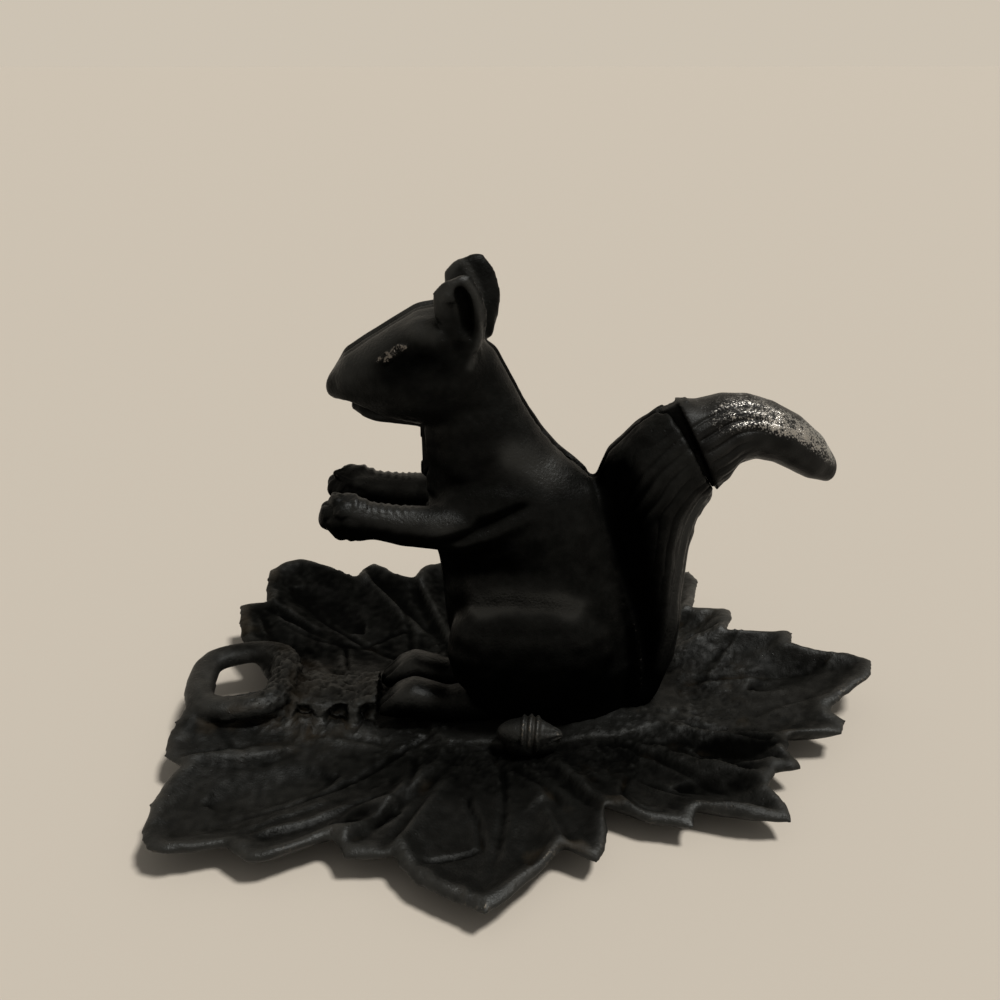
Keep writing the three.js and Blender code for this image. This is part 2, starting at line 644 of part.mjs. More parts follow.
// Both shells in one piece, still without the parting gap and the screw holes
function bodySolid() {
  const headSections = sectionsOf(HEAD_SHARES);
  const noseTip = headSections[0].side.y / 2;
  const napeDome = headSections[headSections.length - 1].side.y / 2;
  const torsoSections = sectionsOf(TORSO_SHARES);
  const outer = joined([
    loft(torsoSections, { endDome: torsoSections[torsoSections.length - 1].side.y / 2 }),
    loft(headSections, { startDome: noseTip, endDome: napeDome, power: 2.3 }),
    loft(sectionsOf(TAIL_ROOT_SHARES)),
    ...limbSolids(-1),
    ...limbSolids(1),
  ]);
  const neckRows = TORSO_SHARES.slice(0, -2);
  const tailSections = sectionsOf(TAIL_ROOT_SHARES, { wall: BODY_WALL });
  const mouthOfTail = tailSections[tailSections.length - 1];
  const beyond = { ...mouthOfTail, centre: mouthOfTail.centre.clone().addScaledVector(splitOut, OVERRUN) };
  const hollow = joined([
    loft(sectionsOf(neckRows, { wall: BODY_WALL })),
    loft([...tailSections, beyond]),
  ]);
  const bossReach = across(0.5);
  const bosses = [crossBar(SHELL_BOSS_DIAMETER, pivotX, pivotZ, -bossReach, bossReach)];
  for (const [screwAlong, screwUp] of BODY_SCREW_SHARES) {
    bosses.push(crossBar(SCREW_BOSS_DIAMETER, along(screwAlong), up(screwUp), -bossReach, bossReach));
  }
  for (const mirror of [-1, 1]) {
    const bossY = (mirror * TRAY_SCREW_SPACING) / 2;
    const bossTop = floorZ + TRAY_SCREW_GRIP + SCREW_DIAMETER;
    bosses.push(upright(SCREW_BOSS_DIAMETER + BODY_WALL, trayScrewX, bossY, 0, bossTop));
  }
  const belowSeat = block([-farAway, -farAway, -farAway], [farAway, farAway, floorZ]);
  const leverRoom = crossBar(
    SHELL_BOSS_DIAMETER + LEVER_BOSS_DIAMETER / 2,
    pivotX,
    pivotZ,
    -LEVER_BOSS_WIDTH / 2 - SIDE_CLEARANCE,
    LEVER_BOSS_WIDTH / 2 + SIDE_CLEARANCE,
  );
  const slotWidth = BEAM_WIDTH + 2 * SLOT_CLEARANCE;
  const throatSlot = plate(THROAT_SLOT_SHARES.map(([x, z]) => [along(x), up(z)]), slotWidth);
  const beamWindow = plate(BEAM_WINDOW_SHARES.map(([x, z]) => [along(x), up(z)]), slotWidth);
  const mouthRows = MOUTH_SHARES.map((row, place) => [...row, JAW_SHARES[place][4]]);
  const mouth = loft(sectionsOf(mouthRows, { wall: -MOUTH_CLEARANCE }), { power: 5 });
  return outer
    .subtract(hollow)
    .add(joined(bosses).intersect(outer))
    .subtract(mouth)
    .add(upperTeeth())
    .subtract(throatSlot)
    .subtract(beamWindow)
    .subtract(tongueNotch())
    .subtract(leverRoom)
    .subtract(belowSeat);
}

// Ridges across the mouth along the line between two rows, each a low wedge that points to the nut:
// upwards for a positive point, downwards for a negative one
function teeth(firstRow, lastRow, width, point) {
  const wedges = [];
  const height = point * TOOTH_HEIGHT;
  const [firstX, firstZ] = [along(firstRow[0]), up(firstRow[1])];
  const slope = (up(lastRow[1]) - firstZ) / (along(lastRow[0]) - firstX);
  for (let tooth = 0; tooth < TOOTH_COUNT; tooth += 1) {
    const x = firstX + (tooth + 0.5) * TOOTH_PITCH;
    const z = firstZ + slope * (x - firstX);
    const outline = [
      [x - TOOTH_PITCH / 2, z - height],
      [x + TOOTH_PITCH / 2, z - height],
      [x, z + height],
    ];
    wedges.push(plate(point > 0 ? outline : outline.reverse(), width));
  }
  return wedges;
}

// Cracking teeth in the roof of the mouth, let into the head above it
function upperTeeth() {
  const width = 2 * across(JAW_SHARES[2][4]);
  return joined(teeth(MOUTH_SHARES[2], MOUTH_SHARES[3], width, -1));
}

// Pin hole across both shells, blind at either end
function pinBore() {
  const half = PIN_LENGTH / 2 + PIN_CLEARANCE;
  return crossBar(PIN_DIAMETER + 2 * PIN_CLEARANCE, pivotX, pivotZ, -half, half);
}

// Screw holes of the body: through the far shell with a seat for the head, blind in the near shell
function bodyScrewHoles() {
  const holes = [];
  for (const [screwAlong, screwUp, seatShare] of BODY_SCREW_SHARES) {
    const x = along(screwAlong);
    const z = up(screwUp);
    const seat = across(seatShare);
    const depth = BODY_SCREW_GRIP + SCREW_CLEARANCE;
    holes.push(crossBar(SCREW_DIAMETER + 2 * SCREW_CLEARANCE, x, z, -depth, seat + OVERRUN, SCREW_SIDES));
    holes.push(crossBar(SCREW_HEAD_DIAMETER + 2 * HEAD_CLEARANCE, x, z, seat, seat + farAway));
  }
  return joined(holes);
}

// Upright screw holes: through the tray, and blind in the shells above it
function trayScrewHoles(topZ) {
  const diameter = SCREW_DIAMETER + 2 * SCREW_CLEARANCE;
  return joined(
    [-1, 1].map((mirror) => {
      const y = (mirror * TRAY_SCREW_SPACING) / 2;
      return upright(diameter, trayScrewX, y, -OVERRUN, topZ, diameter, SCREW_SIDES);
    }),
  );
}

// One shell: the body on one side of the parting plane, with its holes
function bodyHalf(body, mirror) {
  const nearFace = mirror * (PARTING_GAP / 2);
  const farFace = mirror * farAway;
  const low = [-farAway, Math.min(nearFace, farFace), -farAway];
  const high = [farAway, Math.max(nearFace, farFace), farAway];
  const trayHoleTop = floorZ + TRAY_SCREW_GRIP + SCREW_CLEARANCE;
  return body
    .intersect(block(low, high))
    .subtract(pinBore())
    .subtract(bodyScrewHoles())
    .subtract(trayScrewHoles(trayHoleTop));
}

// Outline in the middle plane given as pairs: a share of the way up the split with a distance from
// it added, and a distance out from the split towards the handle
function splitOutline(pairs) {
  return pairs.map(([share, rise, out]) => {
    const point = splitBottom.clone().lerp(splitTop, share);
    point.addScaledVector(splitUp, rise).addScaledVector(splitOut, out);
    return [point.x, point.z];
  });
}

// Points on an arc about the pivot, from one angle to another
function pivotArc(radius, fromAngle, toAngle) {
  const points = [];
  for (let step = 0; step <= ARC_STEPS; step += 1) {
    const turn = THREE.MathUtils.degToRad(fromAngle + ((toAngle - fromAngle) * step) / ARC_STEPS);
    points.push([pivotX + radius * Math.cos(turn), pivotZ + radius * Math.sin(turn)]);
  }
  return points;
}

// Tongue of the lever that fills the split between the tail root and the handle. Its inner edge is
// an arc about the pivot, so that it slides past the tail root as the lever rises.
function tongueSolid() {
  const outside = splitOutline([
    [1, -TONGUE_DROP, SPLIT_TOP_GAP + OVERRUN],
    [0, TONGUE_DROP, SPLIT_BOTTOM_GAP + OVERRUN],
    [0, TONGUE_DROP, TOUCH_GAP],
    [SPLIT_MIDDLE_SHARE, 0, TOUCH_GAP],
  ]);
  const arc = pivotArc(tongueRadius, TONGUE_ANGLES[0], TONGUE_ANGLES[1]);
  return plate([...outside, ...arc].reverse(), TONGUE_WIDTH);
}

// Notch in the crest of the tail root, in which the tongue slides
function tongueNotch() {
  const inner = pivotArc(tongueRadius - SLOT_CLEARANCE, NOTCH_ANGLES[0], NOTCH_ANGLES[1]);
  const outer = pivotArc(tongueRadius + BODY_WALL + OVERRUN, NOTCH_ANGLES[1], NOTCH_ANGLES[0]);
  return plate([...inner, ...outer].reverse(), TONGUE_WIDTH + 2 * SLOT_CLEARANCE);
}

// Outline of the beam: its middle line with half its depth on either side
function beamOutline() {
  const middle = BEAM_SHARES.map(([x, z]) => new THREE.Vector2(along(x), up(z)));
  const entry = splitBottom.clone().lerp(splitTop, BEAM_ENTRY_SHARE);
  const buried = entry.clone().addScaledVector(splitOut, BEAM_BURIED_SHARE * HANDLE_REACH);
  const line = [new THREE.Vector2(buried.x, buried.z), new THREE.Vector2(entry.x, entry.z), ...middle];
  const upper = [];
  const lower = [];
  line.forEach((point, place) => {
    const before = line[Math.max(place - 1, 0)];
    const after = line[Math.min(place + 1, line.length - 1)];
    const run = after.clone().sub(before).normalize();
    const out = new THREE.Vector2(run.y, -run.x).multiplyScalar(BEAM_DEPTH / 2);
    upper.push([point.x + out.x, point.y + out.y]);
    lower.unshift([point.x - out.x, point.y - out.y]);
  });
  return [...upper, ...lower].reverse();
}

// Tail lever in one casting: handle, beam, pivot boss and lower jaw with its teeth
function tailLever() {
  const handleTop = splitTop.clone().addScaledVector(splitOut, SPLIT_TOP_GAP);
  const handleBottom = splitBottom.clone().addScaledVector(splitOut, SPLIT_BOTTOM_GAP);
  const rootHalf = handleBottom.clone().sub(handleTop).multiplyScalar(0.5);
  const sections = [
    {
      centre: handleTop.clone().add(handleBottom).multiplyScalar(0.5),
      half: rootHalf,
      side: new THREE.Vector3(0, across(lastTailRow[4]), 0),
    },
  ];
  for (const [topOut, topUp, bottomOut, bottomUp, halfWidth] of HANDLE_SHARES) {
    const top = new THREE.Vector3(topOut, 0, topUp).multiplyScalar(HANDLE_REACH).add(splitMiddle);
    const bottom = new THREE.Vector3(bottomOut, 0, bottomUp).multiplyScalar(HANDLE_REACH).add(splitMiddle);
    sections.push({
      centre: top.clone().add(bottom).multiplyScalar(0.5),
      half: bottom.sub(top).multiplyScalar(0.5),
      side: new THREE.Vector3(0, halfWidth * HANDLE_REACH, 0),
    });
  }
  const tipHalf = sections[sections.length - 1].half.length();
  const handle = loft(sections, { endDome: HANDLE_DOME_SHARE * tipHalf });
  const jawSections = sectionsOf(JAW_SHARES);
  const jaw = loft(jawSections, { sides: LIMB_SIDES, startDome: jawSections[0].side.y / 2, power: 2.6 });
  const jawTeeth = joined(teeth(JAW_SHARES[1], JAW_SHARES[4], 2 * across(JAW_SHARES[1][4]), 1));
  const boss = crossBar(LEVER_BOSS_DIAMETER, pivotX, pivotZ, -LEVER_BOSS_WIDTH / 2, LEVER_BOSS_WIDTH / 2);
  const bore = crossBar(PIN_DIAMETER + 2 * PIN_CLEARANCE, pivotX, pivotZ, -farAway, farAway);
  const beam = plate(beamOutline(), BEAM_WIDTH);
  const stem = plate(JAW_STEM_SHARES.map(([x, z]) => [along(x), up(z)]), BEAM_WIDTH);
  return joined([handle, beam, tongueSolid(), stem, boss, jaw, jawTeeth]).subtract(bore);
}

// Pivot pin with a small chamfer at either end
function pivotPin() {
  const radius = PIN_DIAMETER / 2;
  const half = PIN_LENGTH / 2;
  const chamfer = PIN_DIAMETER / 10;
  const profile = [
    [0, -half],
    [radius - chamfer, -half],
    [radius, -half + chamfer],
    [radius, half - chamfer],
    [radius - chamfer, half],
    [0, half],
  ];
  const pin = new THREE.LatheGeometry(profile.map(([x, y]) => new THREE.Vector2(x, y)), ROUND_SIDES);
  pin.translate(pivotX, 0, pivotZ);
  return toSolid(pin);
}

// Height of the leaf's upper face on one ray, at a share of the ray's reach
function leafHeight(angle, share, rimZ) {
  const nearest = Math.min(...VEIN_ANGLES.map((vein) => Math.abs(vein - angle)));
  const lobe = Math.max(0, 1 - nearest / LOBE_SPREAD_ANGLE);
  const cup = LOBE_CUP * Math.sin(Math.PI * share) * lobe;
  const vein = nearest === 0 && share < VEIN_END_SHARE ? VEIN_DEPTH * Math.sqrt(share) : 0;
  return LEAF_FLOOR + (rimZ - LEAF_FLOOR) * share ** DISH_POWER - cup - vein;
}

// One ray of the leaf, from its centre to its rim
function leafRay([angle, reach, lift]) {
  const turn = THREE.MathUtils.degToRad(angle);
  return { angle, reach: reach * LEAF_REACH, rimZ: lift * RIM_HEIGHT, turn };
}

// The bare leaf: a thin dish with a lobed, toothed outline and a rounded rim
function leafSolid() {
  const rays = LEAF_RIM_SHARES.map(leafRay);
  const pointOn = (ray, share, z) =>
    new THREE.Vector3(
      leafCentreX + Math.cos(ray.turn) * ray.reach * share,
      Math.sin(ray.turn) * ray.reach * share,
      z,
    );
  const rings = LEAF_RING_SHARES.map((share, place) => {
    const bead = place === LEAF_RING_SHARES.length - 1 ? RIM_BEAD : 0;
    return rays.map((ray) => pointOn(ray, share, leafHeight(ray.angle, share, ray.rimZ) + bead));
  });
  rings.push(rays.map((ray) => pointOn(ray, 1, ray.rimZ - RIM_EDGE_SHARE * RIM_THICKNESS)));
  UNDERSIDE_SHARES.forEach((share, place) => {
    const depth = place === 0 ? RIM_THICKNESS : LEAF_WALL;
    rings.push(rays.map((ray) => pointOn(ray, share, leafHeight(ray.angle, share, ray.rimZ) - depth)));
  });
  const top = new THREE.Vector3(leafCentreX, 0, LEAF_FLOOR);
  const bottom = new THREE.Vector3(leafCentreX, 0, LEAF_FLOOR - LEAF_WALL);
  return toSolid(closeRings(rings, top, bottom));
}

// Finger ring: a flat oval band with a half-round section, let into the leaf at the stem
function fingerRing() {
  const x = RING_PLACE_SHARE * LEAF_REACH - (RING_BAND + RING_LENGTH) / 4;
  const y = RING_ASIDE_SHARE * LEAF_REACH;
  const path = new THREE.CatmullRomCurve3(
    RING_PATH_SHARES.map(([longShare, wideShare]) => {
      const pathX = x + longShare * (RING_LENGTH - RING_BAND);
      return new THREE.Vector3(pathX, y + wideShare * (RING_WIDTH - RING_BAND), RING_CENTRE_HEIGHT);
    }),
    true,
  );
  const rings = [];
  for (let step = 0; step < RING_STEPS; step += 1) {
    const share = step / RING_STEPS;
    const run = path.getTangent(share);
    const out = new THREE.Vector3(run.y, -run.x, 0).multiplyScalar(RING_BAND / 2);
    const ring = [];
    for (let side = 0; side < RING_SIDES; side += 1) {
      const angle = (2 * Math.PI * side) / RING_SIDES;
      const flatness = Math.sin(angle) < 0 ? RING_FLAT_SHARE : 1;
      const corner = path.getPoint(share).addScaledVector(out, Math.cos(angle));
      corner.z += (RING_THICKNESS / 2) * flatness * Math.sin(angle);
      ring.push(corner);
    }
    rings.push(ring);
  }
  return toSolid(closedBand(rings));
}

// Joins rings of points into a band that closes on itself
function closedBand(rings) {
  const sides = rings[0].length;
  const faces = [];
  rings.forEach((ring, place) => {
    const following = ((place + 1) % rings.length) * sides;
    for (let side = 0; side < sides; side += 1) {
      const next = (side + 1) % sides;
      const here = place * sides;
      faces.push(here + side, following + next, here + next);
      faces.push(here + side, following + side, following + next);
    }
  });
  const geometry = new THREE.BufferGeometry();
  geometry.setFromPoints(rings.flat());
  geometry.setIndex(faces);
  return geometry;
}

// Raised bark-like ridge between the finger ring and the toes, with three niches in its near side
function ridgeSolid() {
  const [fromShare, toShare] = RIDGE_SHARES;
  const length = (toShare - fromShare) * LEAF_REACH;
  const startX = leafCentreX + fromShare * LEAF_REACH;
  const sections = [];
  for (let step = 0; step <= RIDGE_STEPS; step += 1) {
    const share = step / RIDGE_STEPS;
    const bump = 1 - RIDGE_BUMP_SHARE * Math.cos(4 * Math.PI * share) * Math.cos(Math.PI * share);
    sections.push({
      centre: new THREE.Vector3(startX + share * length, 0, LEAF_FLOOR),
      half: new THREE.Vector3(0, 0, (RIDGE_HEIGHT - LEAF_FLOOR) * bump),
      side: new THREE.Vector3(0, RIDGE_WIDTH / 2, 0),
    });
  }
  let ridge = loft(sections, { sides: LIMB_SIDES, startDome: RIDGE_WIDTH / 4, power: 3 });
  const sill = LEAF_FLOOR + RIM_BEAD;
  const innerY = NICHE_DEPTH - RIDGE_WIDTH / 2;
  for (const share of NICHE_SHARES) {
    const left = leafCentreX + share * LEAF_REACH - NICHE_WIDTH / 2;
    const niche = block([left, -farAway, sill], [left + NICHE_WIDTH, innerY, sill + NICHE_HEIGHT]);
    ridge = ridge.subtract(niche);
  }
  const underside = LEAF_FLOOR - LEAF_WALL / 2;
  return ridge.subtract(block([-farAway, -farAway, -farAway], [farAway, farAway, underside]));
}

// Plinth that carries the feet and the rump
function plinthSolid() {
  const sides = [];
  const outline = [
    ...PLINTH_SHARES.map(([x, y]) => [x, -y]),
    ...PLINTH_SHARES.map(([x, y]) => [x, y]).reverse(),
  ];
  for (const [height, spread] of [
    [LEAF_FLOOR - LEAF_WALL, PLINTH_SPREAD_SHARE],
    [LEAF_FLOOR, PLINTH_SPREAD_SHARE],
    [SEAT_HEIGHT, 1],
  ]) {
    sides.push(outline.map(([x, y]) => new THREE.Vector3(along(x) * spread, across(y) * spread, height)));
  }
  const middle = along(TRAY_SCREW_SHARE);
  const bottom = new THREE.Vector3(middle, 0, LEAF_FLOOR - LEAF_WALL);
  return toSolid(closeRings(sides, bottom, new THREE.Vector3(middle, 0, SEAT_HEIGHT)));
}

// Acorn cast on beside the rump: a turned shape laid on its side
function acornSolid() {
  const profile = ACORN_PROFILE_SHARES.map(
    ([radius, place]) => new THREE.Vector2(radius * ACORN_DIAMETER, place * ACORN_LENGTH),
  );
  const acorn = new THREE.LatheGeometry(profile, ACORN_SIDES);
  acorn.rotateZ(Math.PI / 2 + THREE.MathUtils.degToRad(ACORN_TURN_ANGLE));
  acorn.translate(along(ACORN_PLACE_SHARES[0]), across(ACORN_PLACE_SHARES[2]), up(ACORN_PLACE_SHARES[1]));
  return toSolid(acorn);
}

// The whole tray in one casting
function leafTray() {
  const nubs = NUB_ANGLES.map((angle) => {
    const ray = leafRay(LEAF_RIM_SHARES.find((row) => row[0] >= angle));
    const reach = NUB_REACH_SHARE * ray.reach;
    const x = leafCentreX + Math.cos(ray.turn) * reach;
    const y = Math.sin(ray.turn) * reach;
    const top = leafHeight(ray.angle, NUB_REACH_SHARE, ray.rimZ) - LEAF_WALL / 2;
    return upright(NUB_DIAMETER * NUB_TAPER_SHARE, x, y, 0, top, NUB_DIAMETER, LIMB_SIDES);
  });
  const tray = joined([leafSolid(), fingerRing(), ridgeSolid(), plinthSolid(), acornSolid(), ...nubs]);
  const pockets = [-1, 1].map((mirror) => {
    const y = (mirror * TRAY_SCREW_SPACING) / 2;
    return upright(WASHER_DIAMETER + 2 * HEAD_CLEARANCE, trayScrewX, y, -OVERRUN, POCKET_DEPTH);
  });
  return tray.subtract(joined(pockets)).subtract(trayScrewHoles(SEAT_HEIGHT + OVERRUN));
}

// Body screw in its place, with its head on the far shell
function bodyScrew([screwAlong, screwUp, seatShare]) {
  const seat = across(seatShare) + TOUCH_GAP;
  const geometry = toGeometry(screwSolid(seat + BODY_SCREW_GRIP));
  geometry.translate(along(screwAlong), seat, up(screwUp));
  return geometry;
}

// Washer and screw under the tray on one side
function trayFasteners(mirror) {
  const y = (mirror * TRAY_SCREW_SPACING) / 2;
  const washerTop = POCKET_DEPTH - TOUCH_GAP;
  const washerBottom = washerTop - WASHER_THICKNESS;
  const hole = SCREW_DIAMETER + 2 * SCREW_CLEARANCE;
  const washer = upright(WASHER_DIAMETER, trayScrewX, y, washerBottom, washerTop).subtract(
    upright(hole, trayScrewX, y, washerBottom - OVERRUN, washerTop + OVERRUN, hole, SCREW_SIDES),
  );
  const seat = washerBottom - TOUCH_GAP;
  const screw = toGeometry(screwSolid(floorZ + TRAY_SCREW_GRIP - seat));
  screw.rotateX(-Math.PI / 2);
  screw.translate(trayScrewX, y, seat);
  return { washer: toGeometry(washer), screw };
}

// Finishes
const japannedIron = new THREE.MeshStandardMaterial({ color: 0x141311, roughness: 0.55, metalness: 0.35 });
const dustyIron = new THREE.MeshStandardMaterial({ color: 0x1b1916, roughness: 0.7, metalness: 0.3 });
const wornIron = new THREE.MeshStandardMaterial({ color: 0x2c2a28, roughness: 0.38, metalness: 0.75 });
const plainSteel = new THREE.MeshStandardMaterial({ color: 0x6d6a66, roughness: 0.4, metalness: 0.9 });

const nutcracker = new THREE.Group();

// Adds one named piece to the assembly
function addPiece(name, geometry, material) {
  const piece = new THREE.Mesh(geometry, material);
  piece.name = name;
  nutcracker.add(piece);
  return piece;
}

const body = bodySolid();
const tray = addPiece('leaf_tray', toGeometry(leafTray()), dustyIron);
addPiece('left_body_half', toGeometry(bodyHalf(body, -1)), japannedIron);
addPiece('right_body_half', toGeometry(bodyHalf(body, 1)), japannedIron);
addPiece('tail_lever', toGeometry(tailLever()), wornIron);
addPiece('pivot_pin', toGeometry(pivotPin()), plainSteel);
['crown', 'belly', 'rump'].forEach((place, index) => {
  addPiece(`body_screw_${place}`, bodyScrew(BODY_SCREW_SHARES[index]), plainSteel);
});
for (const [side, mirror] of [
  ['left', -1],
  ['right', 1],
]) {
  const { washer, screw } = trayFasteners(mirror);
  addPiece(`tray_washer_${side}`, washer, plainSteel);
  addPiece(`tray_screw_${side}`, screw, plainSteel);
}

// The origin goes under the middle of the tray
tray.geometry.computeBoundingBox();
const trayBox = tray.geometry.boundingBox;
nutcracker.position.set(-(trayBox.min.x + trayBox.max.x) / 2, -(trayBox.min.y + trayBox.max.y) / 2, 0);

export default nutcracker;
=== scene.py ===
"""Looks of the lever nutcracker press: a cast-iron squirrel that sits on a leaf tray.

The squirrel faces -X and its tail handle points to +X. Lengths are metres and +Z is up. Each casting
starts as a copy of its node's mesh, which is remeshed finely and then shaped as clay is: softened
where facets meet, and carved with seams, fur, veins, rims and pebbles.
"""

import itertools
import logging
import math
from dataclasses import dataclass
from enum import Enum

import bpy
import numpy as np
from mathutils import Matrix, Vector, kdtree


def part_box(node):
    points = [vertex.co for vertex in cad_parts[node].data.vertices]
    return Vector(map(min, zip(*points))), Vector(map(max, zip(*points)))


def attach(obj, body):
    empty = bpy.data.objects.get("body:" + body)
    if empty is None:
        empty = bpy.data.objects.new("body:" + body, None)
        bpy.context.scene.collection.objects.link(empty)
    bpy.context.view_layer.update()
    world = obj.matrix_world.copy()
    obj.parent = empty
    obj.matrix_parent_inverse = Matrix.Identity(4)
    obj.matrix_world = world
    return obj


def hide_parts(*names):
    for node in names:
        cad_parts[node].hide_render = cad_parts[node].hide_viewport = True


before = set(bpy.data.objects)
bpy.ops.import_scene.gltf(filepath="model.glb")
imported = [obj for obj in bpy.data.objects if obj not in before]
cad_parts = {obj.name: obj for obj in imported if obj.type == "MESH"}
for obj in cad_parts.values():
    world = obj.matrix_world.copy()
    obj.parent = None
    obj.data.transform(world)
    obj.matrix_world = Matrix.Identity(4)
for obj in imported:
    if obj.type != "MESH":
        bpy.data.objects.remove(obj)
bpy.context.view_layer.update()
LOG = logging.getLogger("nutcracker")
STAND = "stand"
LEVER = "lever"
MM = 0.001
PIVOT = (0.005776, 0.075)
SPLIT_PLACE = np.array([0.0458, 0.0948])
SPLIT_RUN = np.array([0.857, 0.515])
STEEL_NODES = ("pivot_pin", "body_screw", "tray_washer", "tray_screw")


class Side(Enum):
    """The two shells of the squirrel, named from its own side."""

    LEFT = -1
    RIGHT = 1


class Slot(Enum):
    """Material slots of the record that the castings use."""

    TRAY = "dusty_iron"
    SHELLS = "japanned_iron"
    HANDLE = "worn_iron"


# Fields over space


def lattice(cells: np.ndarray, seed: int) -> np.ndarray:
    """Gives each whole-numbered cell of space its own random value.

    Args:
        cells: whole-numbered places, one row for each.
        seed: picks one of many unlike fields.

    Returns:
        Values from 0 to 1.
    """
    whole = cells.astype(np.int64).astype(np.uint64)
    mixed = whole[:, 0] * np.uint64(73856093)
    mixed ^= whole[:, 1] * np.uint64(19349663)
    mixed ^= whole[:, 2] * np.uint64(83492791)
    mixed ^= np.uint64(seed * 2654435761 % 2**32)
    mixed = (mixed ^ (mixed >> np.uint64(13))) * np.uint64(1274126177)
    mixed ^= mixed >> np.uint64(16)
    return (mixed & np.uint64(0xFFFFFF)).astype(float) / 0xFFFFFF


def waves(points: np.ndarray, size: float, seed: int) -> np.ndarray:
    """Smooth random values whose swells are about one size apart.

    Args:
        points: places in space, one row for each.
        size: length of a swell.
        seed: picks one of many unlike fields.

    Returns:
        Values from -1 to 1.
    """
    scaled = points / size
    base = np.floor(scaled)
    part = scaled - base
    part = part * part * (3 - 2 * part)
    total = np.zeros(len(points))
    for corner in itertools.product((0, 1), repeat=3):
        weight = np.prod(np.where(np.array(corner) == 1, part, 1 - part), axis=1)
        total += weight * lattice(base + corner, seed)
    return 2 * total - 1


def pebbles(points: np.ndarray, size: float, seed: int) -> np.ndarray:
    """Height of packed pebbles.

    Args:
        points: places in space, one row for each.
        size: width of a pebble.
        seed: picks one of many unlike fields.

    Returns:
        Values from 0 in the gaps to 1 on the tops.
    """
    scaled = points / size
    base = np.floor(scaled)
    nearest = np.full(len(points), 9.0)
    second = np.full(len(points), 9.0)
    for step in itertools.product((-1, 0, 1), repeat=3):
        cell = base + step
        centre = cell + np.stack([lattice(cell, seed + axis) for axis in range(3)], axis=1)
        gap = np.linalg.norm(scaled - centre, axis=1)
        second = np.minimum(second, np.maximum(gap, nearest))
        nearest = np.minimum(nearest, gap)
    return np.sqrt(np.clip(1.5 * (second - nearest), 0, 1))


def ramp(values: np.ndarray, start: float, end: float) -> np.ndarray:
    """Smooth step from 0 at start to 1 at end."""
    share = np.clip((values - start) / (end - start), 0, 1)
    return share * share * (3 - 2 * share)


def window(values: np.ndarray, start: float, full: float, hold: float, end: float) -> np.ndarray:
    """Span with soft edges: 0 up to start, 1 from full to hold, and 0 again from end."""
    return ramp(values, start, full) * ramp(values, end, hold)


@dataclass(frozen=True)
class Zone:
    """Part of space with soft edges, in millimetres.

    A span of two numbers is a ramp from 0 to 1, and one of four is a window. Out is the distance from
    the seam's plane, on either side.
    """

    x: tuple[float, ...] = ()
    y: tuple[float, ...] = ()
    z: tuple[float, ...] = ()
    out: tuple[float, ...] = ()

    def share(self, points: np.ndarray) -> np.ndarray:
        """How much each point belongs to the zone.

        Args:
            points: places in space, one row for each.

        Returns:
            Values from 0 to 1.
        """
        total = np.ones(len(points))
        columns = (*points.T, np.abs(points[:, 1]))
        for values, span in zip(columns, (self.x, self.y, self.z, self.out)):
            if span:
                edge = ramp if len(span) == 2 else window
                total *= edge(values / MM, *span)
        return total


def hill(distance: np.ndarray, width: float) -> np.ndarray:
    """Round hill that is 1 at no distance and fades over the given width."""
    return np.exp(-((distance / width) ** 2))


def beyond_split(points: np.ndarray) -> np.ndarray:
    """How far each point lies past the slanted split of the tail, towards the handle."""
    return (points[:, [0, 2]] - SPLIT_PLACE) @ SPLIT_RUN


def curve_through(corners: np.ndarray | list[np.ndarray], steps: int = 8) -> np.ndarray:
    """Smooth open curve through corner points.

    Args:
        corners: points that the curve passes.
        steps: parts into which each stretch is cut.

    Returns:
        Points along the curve, one row for each.
    """
    rows = np.array(corners, float)
    rows = np.vstack([2 * rows[0] - rows[1], rows, 2 * rows[-1] - rows[-2]])
    made = []
    for place in range(1, len(rows) - 2):
        before, here, after, beyond = rows[place - 1 : place + 3]
        for step in range(steps):
            t = step / steps
            bend = 2 * before - 5 * here + 4 * after - beyond
            twist = 3 * here - before - 3 * after + beyond
            made.append(0.5 * (2 * here + (after - before) * t + bend * t**2 + twist * t**3))
    made.append(rows[-2])
    return np.array(made)


def curve_mm(*corners: tuple[float, float]) -> np.ndarray:
    """Smooth open curve through corner points that are given in millimetres."""
    return curve_through(np.array(corners) * MM)


def along_curve(flat: np.ndarray, curve: np.ndarray) -> tuple[np.ndarray, np.ndarray, np.ndarray]:
    """Finds the nearest place on a flat curve for each point.

    Args:
        flat: points in the curve's plane, one row for each.
        curve: points along the curve, one row for each.

    Returns:
        Distance from the curve, share of the curve's length passed there, and the side on which the
        point lies, positive to the left of the way that the curve runs.
    """
    best = np.full(len(flat), 1e9)
    share = np.zeros(len(flat))
    side = np.ones(len(flat))
    lengths = np.linalg.norm(np.diff(curve, axis=0), axis=1)
    passed = np.concatenate([[0.0], np.cumsum(lengths)])
    for place, length in enumerate(lengths):
        start, run = curve[place], curve[place + 1] - curve[place]
        away = flat - start
        part = np.clip((away @ run) / length**2, 0, 1)
        gap = np.linalg.norm(away - part[:, None] * run, axis=1)
        closer = gap < best
        best = np.where(closer, gap, best)
        share = np.where(closer, (passed[place] + part * length) / passed[-1], share)
        turn = run[0] * away[:, 1] - run[1] * away[:, 0]
        side = np.where(closer, np.where(turn >= 0, 1.0, -1.0), side)
    return best, share, side


# Making and finishing pieces


def select_only(*pieces: bpy.types.Object) -> None:
    """Selects these pieces and nothing else, the first of them active.

    Args:
        *pieces: pieces to select.
    """
    bpy.ops.object.select_all(action="DESELECT")
    for piece in pieces:
        piece.select_set(True)
    bpy.context.view_layer.objects.active = pieces[0]


